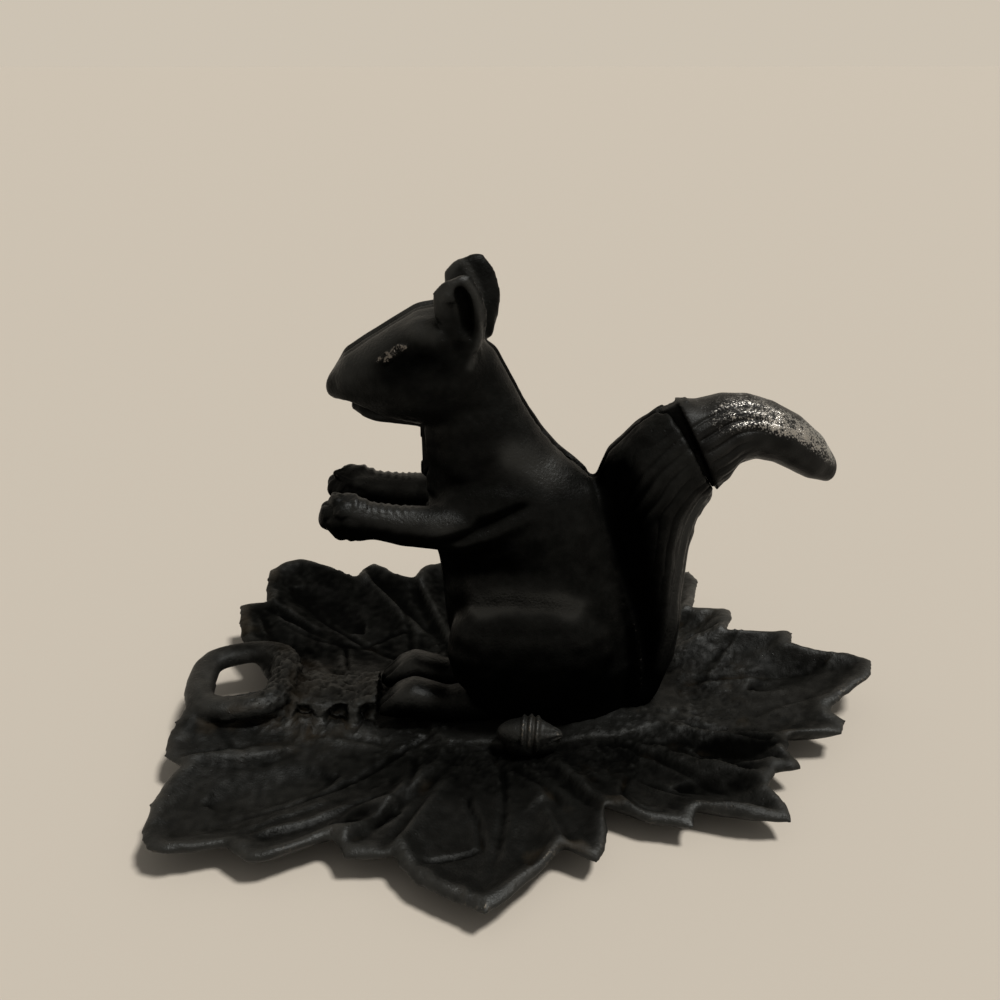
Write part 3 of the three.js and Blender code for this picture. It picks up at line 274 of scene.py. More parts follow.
def copy_of(name: str, nodes: list[str]) -> bpy.types.Object:
    """Copies the meshes of nodes into one new piece, with its doubled corners merged.

    Args:
        name: name of the new piece.
        nodes: names of the nodes.

    Returns:
        The new piece.
    """
    copies = []
    for node in nodes:
        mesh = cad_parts[node].data.copy()
        mesh.materials.clear()
        copy = bpy.data.objects.new(name, mesh)
        bpy.context.scene.collection.objects.link(copy)
        copies.append(copy)
    select_only(*copies)
    if len(copies) > 1:
        bpy.ops.object.join()
    piece = copies[0]
    bpy.ops.object.mode_set(mode="EDIT")
    bpy.ops.mesh.select_all(action="SELECT")
    bpy.ops.mesh.remove_doubles(threshold=1e-6)
    bpy.ops.object.mode_set(mode="OBJECT")
    piece.name = name
    return piece


def remesh(piece: bpy.types.Object, voxel: float) -> None:
    """Covers a closed piece with an even net of small faces, fusing solids that overlap.

    Args:
        piece: the closed piece.
        voxel: size of the net's faces.
    """
    select_only(piece)
    modifier = piece.modifiers.new("even_net", "REMESH")
    modifier.mode = "VOXEL"
    modifier.voxel_size = voxel
    bpy.ops.object.modifier_apply(modifier=modifier.name)


def finish_piece(piece: bpy.types.Object, body: str, slot: Slot, *nodes: str) -> None:
    """Shades a piece smooth, sets its body, and lets it stand for its nodes.

    Args:
        piece: the shaped piece.
        body: body that it rides on.
        slot: not used.
        *nodes: nodes that it stands for.
    """
    select_only(piece)
    bpy.ops.object.shade_smooth()
    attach(piece, body)
    if nodes:
        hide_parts(*nodes)
    LOG.info("%s: %d faces, rides on %s", piece.name, len(piece.data.polygons), body)


class Clay:
    """A closed mesh held as arrays, so that all of it can be shaped at once."""

    def __init__(self, piece: bpy.types.Object) -> None:
        """Reads the piece's mesh.

        Args:
            piece: piece whose mesh is read.
        """
        self.piece = piece
        mesh = piece.data
        self.count = len(mesh.vertices)
        flat = np.empty(self.count * 3)
        mesh.vertices.foreach_get("co", flat)
        self.points = flat.reshape(-1, 3)
        ends = np.empty(len(mesh.edges) * 2, np.int64)
        mesh.edges.foreach_get("vertices", ends)
        self.start, self.end = ends.reshape(-1, 2).T
        self.degree = np.bincount(np.concatenate([self.start, self.end]), minlength=self.count)

    def write(self) -> None:
        """Puts the shaped points back into the mesh."""
        self.piece.data.vertices.foreach_set("co", self.points.ravel())
        self.piece.data.update()

    def normals(self) -> np.ndarray:
        """Outward directions of the surface as it now is, one row for each point.

        Returns:
            The directions.
        """
        self.write()
        flat = np.empty(self.count * 3)
        self.piece.data.vertices.foreach_get("normal", flat)
        return flat.reshape(-1, 3)

    def neighbours_mean(self, values: np.ndarray) -> np.ndarray:
        """Mean of the values at each point's neighbours, one column for each column given.

        Args:
            values: one row for each point.

        Returns:
            The means, in rows as given.
        """
        columns = []
        for column in values.T:
            total = np.bincount(self.start, column[self.end], self.count)
            total += np.bincount(self.end, column[self.start], self.count)
            columns.append(total / self.degree)
        return np.stack(columns, axis=1)

    def soften(self, rounds: int, band: float, weight: np.ndarray | float = 1.0) -> None:
        """Rounds off facets and keeps larger forms at their size.

        Args:
            rounds: number of passes.
            band: waves finer than this band are taken out; a smaller band takes out longer waves.
            weight: how much each point takes part, from 0 to 1.
        """
        shrink = 0.5
        grow = -1 / (1 / shrink - band)
        weights = np.broadcast_to(weight, self.count)[:, None]
        for _ in range(rounds):
            for factor in (shrink, grow):
                moved = self.neighbours_mean(self.points) - self.points
                self.points = self.points + factor * weights * moved

    def level(self, rounds: int, weight: np.ndarray) -> None:
        """Evens out heights only, by the weight of each point.

        Args:
            rounds: number of passes.
            weight: how much each point takes part, from 0 to 1.
        """
        height = self.points[:, 2:].copy()
        for _ in range(rounds):
            height += weight[:, None] * (self.neighbours_mean(height) - height)
        self.points[:, 2] = height[:, 0]

    def push(self, rise: np.ndarray) -> None:
        """Moves each point outwards by its rise, or inwards where that is negative."""
        self.points = self.points + self.normals() * rise[:, None]

    def hollows(self, rounds: int) -> np.ndarray:
        """How far each point lies below the mean of its surroundings, positive in hollows.

        Args:
            rounds: number of passes.

        Returns:
            The depth at each point.
        """
        mean = self.points.copy()
        for _ in range(rounds):
            mean = self.neighbours_mean(mean)
        return np.einsum("ij,ij->i", mean - self.points, self.normals())

    def paint(self, name: str, values: np.ndarray) -> None:
        """Stores a mask on the surface for the material to read."""
        attribute = self.piece.data.attributes.new(name, "FLOAT", "POINT")
        attribute.data.foreach_set("value", np.clip(values, 0, 1).astype(np.float32))


# Finishes


@dataclass(frozen=True)
class IronFinish:
    """Finish of one casting: colours, shares of dust and sheen from 0 up, and grain in metres."""

    name: str
    colour: tuple[float, float, float]
    dust_colour: tuple[float, float, float]
    dust: float
    bare_colour: tuple[float, float, float]
    roughness: float
    grain_size: float
    grain_depth: float
    sheen_spots: float
    gloss: float = 0.36
    # The next two set painted shade: the base colour darkens where the gloss mask is below the first, down
    # to the second share.
    painted_shade_fade: float = 0.42
    painted_shade_level: float = 0.3
    bump_strength: float = 0.6


SHELL_FINISH = IronFinish(
    name="japanned_iron",
    colour=(0.0022, 0.0023, 0.0021),
    dust_colour=(0.012, 0.0105, 0.008),
    dust=0.25,
    bare_colour=(0.13, 0.12, 0.11),
    roughness=0.385,
    grain_size=0.0009,
    grain_depth=0.00042,
    sheen_spots=0.85,
)
TRAY_FINISH = IronFinish(
    name="dusty_iron",
    colour=(0.0053, 0.0054, 0.0049),
    dust_colour=(0.027, 0.0215, 0.0148),
    dust=0.62,
    bare_colour=(0.085, 0.078, 0.068),
    roughness=0.44,
    grain_size=0.001,
    grain_depth=0.00045,
    sheen_spots=1.35,
    gloss=0.4,
)
HANDLE_FINISH = IronFinish(
    name="worn_iron",
    colour=(0.005, 0.0049, 0.0047),
    dust_colour=(0.02, 0.017, 0.013),
    dust=0.25,
    bare_colour=(0.36, 0.35, 0.333),
    roughness=0.38,
    grain_size=0.0006,
    grain_depth=0.0003,
    sheen_spots=0.5,
)
STEEL_FINISH = IronFinish(
    name="plain_steel",
    colour=(0.09, 0.085, 0.08),
    dust_colour=(0.09, 0.055, 0.03),
    dust=0.5,
    bare_colour=(0.3, 0.29, 0.28),
    roughness=0.4,
    grain_size=0.0008,
    grain_depth=0.00006,
    sheen_spots=0.2,
)
COLD_SHEEN = (0.93, 0.98, 1.0, 1.0)
STEEL_METALLIC = 0.85
STEEL_GLOSS = 0.5


class NodeTable:
    """Short way to add and join nodes in one tree."""

    def __init__(self, tree: bpy.types.NodeTree) -> None:
        """Holds the tree."""
        self.tree = tree

    def add(self, kind: str, settings: dict | None = None, **inputs: object) -> bpy.types.Node:
        """Adds a node.

        Args:
            kind: the node's type name.
            settings: properties of the node.
            **inputs: values or output sockets for its inputs, by name with _ for a space.

        Returns:
            The node.
        """
        node = self.tree.nodes.new(kind)
        for key, value in (settings or {}).items():
            setattr(node, key, value)
        for key, value in inputs.items():
            self.feed(node.inputs[key.replace("_", " ")], value)
        return node

    def feed(self, socket: bpy.types.NodeSocket, value: object) -> None:
        """Joins an output to a socket, or sets the socket's own value.

        Args:
            socket: input that is fed.
            value: output socket or plain value.
        """
        if isinstance(value, bpy.types.NodeSocket):
            self.tree.links.new(value, socket)
        else:
            socket.default_value = value

    def maths(self, operation: str, first: object, second: object = 0.0) -> bpy.types.NodeSocket:
        """Result of one sum on two values.

        Args:
            operation: name of the sum.
            first: first value.
            second: second value.

        Returns:
            The result.
        """
        node = self.tree.nodes.new("ShaderNodeMath")
        node.operation = operation
        self.feed(node.inputs[0], first)
        self.feed(node.inputs[1], second)
        return node.outputs[0]

    def noise(self, place: object, scale: object, detail: float, roughness: float) -> bpy.types.NodeSocket:
        """Values of a noise texture.

        Args:
            place: where it is read.
            scale: repeats for each metre.
            detail: number of finer layers.
            roughness: weight of the finer layers.

        Returns:
            The values, from 0 to 1.
        """
        node = self.add("ShaderNodeTexNoise", Vector=place, Scale=scale, Detail=detail, Roughness=roughness)
        return node.outputs["Fac"]

    def mix(self, kind: str, share: object, first: object, second: object) -> bpy.types.NodeSocket:
        """Colour mixed from two colours.

        Args:
            kind: the way of mixing.
            share: how much the second colour counts.
            first: first colour.
            second: second colour.

        Returns:
            The mixed colour.
        """
        node = self.add("ShaderNodeMix", {"data_type": "RGBA", "blend_type": kind})
        for place, value in ((0, share), (6, first), (7, second)):
            self.feed(node.inputs[place], value)
        return node.outputs[2]

    def between(
        self, value: object, low: float, high: float, to_low: float = 0.0, to_high: float = 1.0
    ) -> bpy.types.NodeSocket:
        """Value stretched from one span to another and held inside it.

        Args:
            value: what is stretched.
            low: start of the first span.
            high: end of the first span.
            to_low: result at low.
            to_high: result at high.

        Returns:
            The stretched value.
        """
        node = self.tree.nodes.new("ShaderNodeMapRange")
        node.interpolation_type = "SMOOTHSTEP"
        for socket, given in zip(node.inputs, (value, low, high, to_low, to_high)):
            self.feed(socket, given)
        return node.outputs[0]


@dataclass(frozen=True)
class IronSkin:
    """Surface that the castings share: repeats for each metre, and how strongly each effect works."""

    patch_scale: float = 70.0
    cloud_scale: float = 22.0
    speck_scale: float = 420.0
    pit_share: float = 0.33
    pit_depth: float = 0.7
    dust_edge: tuple[float, float] = (0.3, 0.85)
    dust_roughness: float = 0.22
    wear_contrast: float = 2.2
    wear_loss: float = 0.82
    wear_edge: tuple[float, float] = (0.45, 0.8)
    wear_start: tuple[float, float] = (0.02, 0.2)
    wear_roughness: float = 0.14
    patch_tones: tuple[float, float] = (0.78, 1.3)
    cloud_roughness: tuple[float, float] = (-0.07, 0.09)
    speck_roughness: float = 0.32
    speck_height: float = 0.25

    def group(self) -> bpy.types.NodeTree:
        """Builds the node group: grain, pits, dust, bare metal and glossy specks.

        Returns:
            The node group.
        """
        group = bpy.data.node_groups.new("cast_iron_skin", "ShaderNodeTree")
        for way, kind, names in (
            ("INPUT", "NodeSocketVector", ("Place",)),
            ("INPUT", "NodeSocketColor", ("Colour", "Dust Colour", "Bare Colour")),
            ("INPUT", "NodeSocketFloat", ("Dust", "Bare", "Grain Scale", "Roughness", "Specks")),
            ("OUTPUT", "NodeSocketColor", ("Colour",)),
            ("OUTPUT", "NodeSocketFloat", ("Roughness", "Metallic", "Height")),
        ):
            for name in names:
                group.interface.new_socket(name=name, in_out=way, socket_type=kind)
        table = NodeTable(group)
        given = table.add("NodeGroupInput").outputs
        place = given["Place"]
        grain_scale = given["Grain Scale"]
        pit_scale = table.maths("MULTIPLY", grain_scale, self.pit_share)
        grain = table.noise(place, grain_scale, 5.0, 0.62)
        patch = table.noise(place, self.patch_scale, 6.0, 0.6)
        cloud = table.noise(place, self.cloud_scale, 4.0, 0.55)
        pits = table.add("ShaderNodeTexVoronoi", Vector=place, Scale=pit_scale, Randomness=1.0)
        specks = table.add("ShaderNodeTexVoronoi", Vector=place, Scale=self.speck_scale, Randomness=1.0)

        ragged = table.maths("ADD", given["Dust"], table.maths("SUBTRACT", patch, 0.5))
        dust = table.between(ragged, *self.dust_edge)
        rubbed = table.maths("MULTIPLY", grain, self.wear_contrast)
        worn = table.maths("SUBTRACT", table.maths("ADD", given["Bare"], rubbed), self.wear_loss)
        bare = table.between(worn, *self.wear_edge)
        bare = table.maths("MULTIPLY", bare, table.between(given["Bare"], *self.wear_start))
        base = table.mix("MULTIPLY", 1.0, given["Colour"], table.between(patch, 0.3, 0.7, *self.patch_tones))
        shown = table.mix("MIX", dust, base, given["Dust Colour"])
        shown = table.mix("MIX", bare, shown, given["Bare Colour"])

        speck = table.between(specks.outputs["Distance"], 0.05, 0.16, 1.0, 0.0)
        speck = table.maths("MULTIPLY", speck, table.between(specks.outputs["Color"], 0.55, 0.7))
        speck = table.maths("MULTIPLY", speck, given["Specks"])
        rough = table.maths("ADD", given["Roughness"], table.maths("MULTIPLY", dust, self.dust_roughness))
        rough = table.maths("ADD", rough, table.between(cloud, 0.3, 0.7, *self.cloud_roughness))
        rough = table.maths("SUBTRACT", rough, table.maths("MULTIPLY", speck, self.speck_roughness))
        rough = table.maths("SUBTRACT", rough, table.maths("MULTIPLY", bare, self.wear_roughness))

        pit = table.between(pits.outputs["Distance"], 0.0, 0.22, 1.0, 0.0)
        pit = table.maths("MULTIPLY", pit, table.between(cloud, 0.45, 0.62))
        height = table.maths("SUBTRACT", grain, table.maths("MULTIPLY", pit, self.pit_depth))
        height = table.maths("ADD", height, table.maths("MULTIPLY", speck, self.speck_height))
        metal = table.between(bare, 0.0, 1.0)
        table.add("NodeGroupOutput", Colour=shown, Roughness=rough, Metallic=metal, Height=height)
        return group


def iron_material(finish: IronFinish, group: bpy.types.NodeTree) -> bpy.types.Material:
    """Makes the material of one casting.

    Args:
        finish: colours and grain.
        group: the shared skin.

    Returns:
        The material.
    """
    material = bpy.data.materials.new(finish.name)
    material.use_nodes = True
    table = NodeTable(material.node_tree)
    shader = material.node_tree.nodes["Principled BSDF"]
    place = table.add("ShaderNodeTexCoord").outputs["Object"]
    masks = {
        mask: table.add("ShaderNodeAttribute", {"attribute_name": mask}).outputs["Fac"]
        for mask in ("dust", "bare", "gloss_and_painted_light")
    }
    skin = table.add("ShaderNodeGroup", {"node_tree": group})
    table.feed(skin.inputs["Place"], place)
    for name, colour in (
        ("Colour", finish.colour),
        ("Dust Colour", finish.dust_colour),
        ("Bare Colour", finish.bare_colour),
    ):
        skin.inputs[name].default_value = (*colour, 1.0)
    table.feed(skin.inputs["Dust"], table.maths("MULTIPLY", masks["dust"], finish.dust))
    table.feed(skin.inputs["Bare"], masks["bare"])
    skin.inputs["Grain Scale"].default_value = 1 / finish.grain_size
    skin.inputs["Roughness"].default_value = finish.roughness
    skin.inputs["Specks"].default_value = finish.sheen_spots
    bump = table.add("ShaderNodeBump", Height=skin.outputs["Height"], Strength=finish.bump_strength)
    bump.inputs["Distance"].default_value = finish.grain_depth
    # Painted shade: the base colour darkens where the gloss mask is low, down to the finish's shade share
    # where it is 0.
    shade = table.between(masks["gloss_and_painted_light"], 0.0, finish.painted_shade_fade, finish.painted_shade_level, 1.0)
    table.feed(shader.inputs["Base Color"], table.mix("MULTIPLY", 1.0, skin.outputs["Colour"], shade))
    for name in ("Roughness", "Metallic"):
        table.feed(shader.inputs[name], skin.outputs[name])
    table.feed(shader.inputs["Normal"], bump.outputs["Normal"])
    # The same mask sets the gloss, which is raised on the places of painted highlight.
    gloss_and_painted_light = table.maths("POWER", table.between(masks["gloss_and_painted_light"], 0.0, 1.0), 2.0)
    table.feed(shader.inputs["Specular IOR Level"], table.maths("MULTIPLY", gloss_and_painted_light, finish.gloss))
    shader.inputs["Specular Tint"].default_value = COLD_SHEEN
    return material


def steel_material(group: bpy.types.NodeTree) -> bpy.types.Material:
    """Makes the darkened steel of the pin, screws and washers, whose meshes carry no masks.

    Args:
        group: the shared skin.

    Returns:
        The material.
    """
    material = iron_material(STEEL_FINISH, group)
    shader = material.node_tree.nodes["Principled BSDF"]
    tree = material.node_tree
    for name, value in (("Metallic", STEEL_METALLIC), ("Specular IOR Level", STEEL_GLOSS)):
        tree.links.remove(shader.inputs[name].links[0])
        shader.inputs[name].default_value = value
    skin = next(node for node in tree.nodes if node.bl_idname == "ShaderNodeGroup")
    tree.links.new(skin.outputs["Colour"], shader.inputs["Base Color"])
    return material


# The squirrel


THROAT = Zone(x=(-29.5, -31.5), z=(83, 86, 103, 106))
THROAT_FAR_SIDE = Zone(y=(4, 4.7, 8, 11))
THROAT_NEAR_SIDE = Zone(y=(-12, -9, -4.7, -4))
WEDGE_END = Zone(z=(92, 96, 102, 106))
ROOT_FLANKS = Zone(z=(8, 22, 90, 99), out=(4.5, 8))
FACE_SIDES = Zone(out=(6, 9))
FOREHEAD_SEAM = Zone(x=(-56, -53, -28.5, -26.5), z=(118, 122))
SEAM_STRIP = Zone(y=(0.2, 0.6, 2.6, 3.4))
NAPE_SEAM = Zone(x=(-15, -11, 14, 17), z=(84, 88), out=(7.5, 6))
LOW_NAPE = Zone(x=(-10, 2, 16, 20), z=(84, 88))
EARS = Zone(out=(8.2, 9.5))
PAWS = Zone(x=(-50, -55), z=(68, 69.5, 89, 90.5))
FOREARMS = Zone(x=(-54, -52.5, -37.5, -36), z=(80, 81.2, 86.5, 88.5), out=(9.5, 11, 14.5, 15.8))
TOES = Zone(x=(-42.5, -46), z=(25, 22))
NEAR_THE_FEET = Zone(z=(35, 10))
BELOW_THE_EARS = Zone(z=(134, 128))
# Zones of painted shade: the steep flanks, and the valley below the waist.
BODY_FLANKS = Zone(x=(40, 30), z=(106, 88))
BELOW_THE_WAIST = Zone(z=(98, 88))
RUMP_EDGE = curve_mm(
    (14.5, 104), (16.5, 92.5), (19.5, 77), (24.3, 59.5), (30, 41), (33.5, 22), (33.5, 4)
)
CHEEK_BACK = curve_mm((-24.5, 108.5), (-18.5, 111), (-15, 118), (-15.5, 127))
BROW = curve_mm((-38.5, 133), (-36.5, 136), (-32, 136.5), (-29, 134.5), (-27.2, 130))
EAR_FOLD = curve_mm((-22.8, 146.8), (-20.5, 142.5), (-19.5, 137), (-18.7, 130.5))
ROOT_BAND = curve_mm(
    (51.2, 84.5), (47, 78.5), (44.4, 71), (43.2, 60.5), (42.4, 50.5), (42.2, 36), (40, 20)
)
ROOT_FUR = curve_mm((30, 4), (33.5, 22), (34, 40), (32.5, 60), (33.5, 77), (41.5, 91.5), (52, 99))
HANDLE_MIDDLE = curve_mm(
    (45.5, 94.5), (52.5, 98), (58, 101.2), (64, 101.8), (71, 100), (78, 96.3), (84, 92), (90, 87)
)


@dataclass(frozen=True)
class Stroke:
    """Soft stroke along a curve in side view, with its strength and its width in millimetres."""

    corners: tuple[tuple[float, float], ...]
    strength: float
    width: float


@dataclass(frozen=True)
class Lump:
    """Soft round form on both sides of the head: place, radii and height in millimetres."""

    place: tuple[float, float, float]
    radii: tuple[float, float, float]
    height: float


CREASES = {
    "under the upper arm": Stroke(((-31, 71.5), (-21, 75.5), (-8, 81.5), (2, 85.5)), -1.495, 2.16),
    "lip below that crease": Stroke(((-31, 68), (-18, 72.5), (-4, 78.5)), 0.195, 3.84),
    "thigh": Stroke(((-33.5, 30), (-32.5, 45), (-26.5, 57.5), (-12, 63), (6, 61)), -0.715, 3.6),
    "top of the thigh": Stroke(((-23, 51.5), (-10, 57.5), (3, 56.5), (13, 51)), 0.78, 4.8),
    "shoulder": Stroke(((-26, 88.5), (-16, 98), (-6, 101.5), (4, 94.5)), 0.585, 6.24),
    "behind the cheek": Stroke(((-20, 108), (-14, 113.5), (-9.5, 118.5)), -0.455, 3.84),
}
FACE_FORMS = {
    "socket before the eye": Lump((-40, 13, 127), (6, 6, 4.8), -0.8),
    "socket behind the eye": Lump((-32.5, 14, 126.5), (5, 6, 4), -1.3),
    "brow": Lump((-30, 13, 133.5), (5.2, 6, 3.6), 1.2),
    "cheek": Lump((-31, 14, 117), (9.5, 8, 8), 0.7),
    "side of the muzzle": Lump((-50, 8, 118), (5, 6, 6), -0.4),
    "nostril": Lump((-56.5, 3, 117), (1, 2, 0.9), -0.6),
    "wart on the muzzle": Lump((-53.5, 7, 123.5), (0.8, 2, 0.8), 0.4),
}
# Painted highlights: strokes of raised gloss where highlights fall; the one in the eye socket lowers the
# gloss and darkens the colour as painted shade.
PAINTED_LIGHT_PLACES = {
    "shoulder": Stroke(((-7.5, 98), (-3, 95.5), (3, 92)), 0.58, 4.2),
    "top of the thigh": Stroke(((-18, 51.5), (-10, 54), (3, 53.8), (10, 51)), 1.1, 3.1),
    "forearm": Stroke(((-52, 84.5), (-46, 83), (-37, 81.5)), 0.4, 3.6),
    "elbow": Stroke(((-30, 79), (-27, 79)), 0.35, 4),
    "forehead": Stroke(((-54, 122), (-45, 131), (-33, 140), (-26, 143)), 0.35, 4.5),
    "brow": Stroke(((-34, 134.5), (-29.5, 133)), 0.35, 3),
    "painted shade in the eye socket": Stroke(((-41, 122.5), (-33, 126.5), (-26, 125)), -0.2, 3.6),
    "ear rim": Stroke(((-26.5, 144), (-20.8, 148.3), (-16.5, 141), (-15.7, 133.5), (-19, 124)), 0.5, 1.1),
    "back of the tail": Stroke(((49, 80), (44.5, 71), (43.2, 50), (40.5, 22)), 0.6, 2.6),
    "tail beside the split": Stroke(((36, 90), (43, 98)), 0.16, 6),
    "feet": Stroke(((-44, 19), (-37, 17)), 0.35, 4),
}


def stroke_profile(side_view: np.ndarray, stroke: Stroke) -> tuple[np.ndarray, np.ndarray]:
    """Height of a stroke's soft profile, and the share of its length passed, at each point.

    Args:
        side_view: points seen from the side, one row for each.
        stroke: the stroke.

    Returns:
        Profile from 0 to 1, and share of the length.
    """
    gap, share, _ = along_curve(side_view, curve_mm(*stroke.corners))
    return hill(gap, stroke.width * MM), share


@dataclass
class Squirrel:
    """The two shells, shaped as one and then parted at the seam."""

    voxel: float = 0.00064
    seam_gap: float = 0.0005
    seam_overlap: float = 0.0004
    seam_groove: float = 0.00045
    seam_width: float = 0.0009
    fur_depth: float = 0.0008
    fur_lines: float = 19.0
    valley_depth: float = 0.0038
    wedge_end_push: float = 0.00035
    throat_far_push: float = 0.0030
    throat_near_push: float = 0.0011
    swell: float = 0.00026
    ripple: float = 0.00009
    rump_bank: float = 0.0004
    band_groove: float = 0.0008
    band_bank: float = 0.0005
    band_stripe: float = 0.00035
    brow_rise: float = 0.0006
    eye_lumps: tuple[float, float] = (0.0009, 0.0006)
    strip_rise: float = 0.0007
    strip_groove: float = 0.0005
    nape_rise: float = 0.0006
    nape_gap: float = 0.0013
    nape_ragged: float = 0.0006
    ear_fold: float = 0.0014
    ear_ridge: float = 0.0017
    ear_back: float = 0.0006
    knuckle_size: float = 0.0046
    knuckle_rise: float = 0.0009
    bead_pitch: float = 0.0023
    bead_rise: float = 0.0005
    toe_pitch: float = 0.0042
    toe_groove: float = 0.0008
    ear_offset: float = 0.0036

    def __post_init__(self) -> None:
        """Finds the shells' own box, from which places on them are counted."""
        low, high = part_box("left_body_half")
        self.low = np.array(low)
        self.size = np.array(high) - self.low

    def build(self) -> list[bpy.types.Object]:
        """Makes both shells.

        Returns:
            The left and the right shell.
        """
        body = self.fused()
        clay = Clay(body)
        self.soften(clay)
        self.carve(clay)
        self.masks(clay)
        clay.write()
        shells = [self.shell(body, side) for side in Side]
        bpy.data.objects.remove(body)
        return shells

    def fused(self) -> bpy.types.Object:
        """Joins copies of both shells across the seam and gives them one even net.

        Returns:
            The fused body.
        """
        body = copy_of("squirrel_body", ["left_body_half", "right_body_half"])
        clay = Clay(body)
        across = clay.points[:, 1]
        at_seam = np.abs(across) < 0.00035
        clay.points[:, 1] = np.where(at_seam, -np.sign(across) * self.seam_overlap, across)
        clay.write()
        remesh(body, self.voxel)
        return body

    def soften(self, clay: Clay) -> None:
        """Rounds the facets, least at the ears and paws, which are thin.

        Args:
            clay: the body's points, which are moved.
        """
        along, _, up = ((clay.points - self.low) / self.size).T
        ears = ramp(up, 0.83, 0.88) * ramp(along, 0.27, 0.32)
        paws = ramp(along, 0.16, 0.06) * ramp(up, 0.64, 0.58)
        throat_slot = window(up, 0.5, 0.54, 0.72, 0.74) * ramp(along, 0.32, 0.27)
        keep = 1 - np.maximum.reduce([0.5 * ears, 0.6 * paws, 0.3 * throat_slot])
        clay.soften(300, 0.018, keep)
        gap, _, _ = along_curve(clay.points[:, [0, 2]], CHEEK_BACK)
        clay.level(80, 0.95 * hill(gap, 0.0042) * FACE_SIDES.share(clay.points))

    def carve(self, clay: Clay) -> None:
        """Carves the creases, face, paws, fur and seam into the fused body.

        Args:
            clay: the piece's points, which are moved.
        """
        points = clay.points
        side_view = points[:, [0, 2]]
        facing = clay.normals()[:, 1] * np.sign(points[:, 1])
        flank = ramp(facing, 0.0, 0.35)
        rise = self.swell * waves(points, 0.015, 3) + self.ripple * waves(points, 0.004, 5)
        rise += self.crease_rise(side_view) * flank
        rise += self.root_rise(points, side_view) * ramp(facing, -0.1, 0.2)
        rise += self.face_rise(points)
        rise += self.ear_rise(points) * flank
        rise += self.limb_rise(points)
        clay.push(rise)
        clay.push(self.seam_rise(clay.points))
        far = self.throat_far_push * THROAT_FAR_SIDE.share(points)
        near = self.throat_near_push * THROAT_NEAR_SIDE.share(points)
        clay.points[:, 0] -= THROAT.share(points) * (far + near)
        end = ramp(beyond_split(clay.points), -0.0085, -0.0065) * WEDGE_END.share(clay.points)
        clay.points[:, [0, 2]] += self.wedge_end_push * end[:, None] * SPLIT_RUN

    def crease_rise(self, side_view: np.ndarray) -> np.ndarray:
        """Creases and swells of the flank, whose strengths are heights in millimetres.

        Args:
            side_view: the same places seen from the side.

        Returns:
            Rise at each point, negative where the surface sinks.
        """
        total = np.zeros(len(side_view))
        for crease in CREASES.values():
            profile, share = stroke_profile(side_view, crease)
            total += crease.strength * MM * profile * window(share, 0.0, 0.15, 0.7, 1.0)
        return total

    def beyond_rump(self, points: np.ndarray) -> np.ndarray:
        """How far each point lies behind the rump's back edge."""
        return points[:, 0] - np.interp(points[:, 2], RUMP_EDGE[::-1, 1], RUMP_EDGE[::-1, 0])

    def root_rise(self, points: np.ndarray, side_view: np.ndarray) -> np.ndarray:
        """Tail root: a sunken valley beside the rump, strokes of fur, and a banded back edge.

        Args:
            points: places on the surface, one row for each.
            side_view: the same places seen from the side.

        Returns:
            Rise at each point, negative where the surface sinks.
        """
        beyond = self.beyond_rump(points)
        flank = ROOT_FLANKS.share(points)
        total = -self.valley_depth * window(beyond, -0.0002, 0.0026, 0.0045, 0.0145) * flank
        total += self.rump_bank * hill(beyond + 0.0016, 0.002) * flank
        total += self.fur_rise(points, side_view) * ramp(beyond, 0.001, 0.006)
        gap, share, side = along_curve(side_view, ROOT_BAND)
        fade = window(share, 0.0, 0.08, 0.8, 1.0)
        signed = gap * side
        total -= self.band_groove * fade * hill(gap, 0.0007)
        total += self.band_bank * fade * hill(signed - 0.0014, 0.0008)
        stripes = 0.5 + 0.5 * np.cos(2 * math.pi * (signed / 0.0012 + 0.4 * waves(points, 0.012, 25)))
        total -= self.band_stripe * fade * stripes * ramp(signed, 0.0015, 0.0022)
        return total

    def fur_rise(self, points: np.ndarray, side_view: np.ndarray) -> np.ndarray:
        """Long uneven strokes of fur that run up the tail root and fan out towards the split.

        Args:
            points: places on the surface, one row for each.
            side_view: the same places seen from the side.

        Returns:
            Rise at each point, negative where the surface sinks.
        """
        gap, share, side = along_curve(side_view, ROOT_FUR)
        half = 0.0085 + 0.0095 * ramp(share, 0.05, 0.7)
        place = side * gap / half
        stretched = points * np.array([1, 1, 0.3])
        wobble = 0.45 * waves(stretched, 0.007, 21) + 0.2 * waves(points, 0.006, 22)
        phase = self.fur_lines * (place + 0.10 * share) * 0.25 + wobble
        stroke = np.abs((phase % 1.0) - 0.5) * 2
        groove = -ramp(stroke, 0.32, 0.0) + 0.45 * ramp(stroke, 0.55, 1.0)
        strength = np.clip(0.55 + 0.75 * waves(stretched, 0.009, 23), 0.1, 1.2)
        return self.fur_depth * groove * strength * ramp(share, 0.12, 0.45)

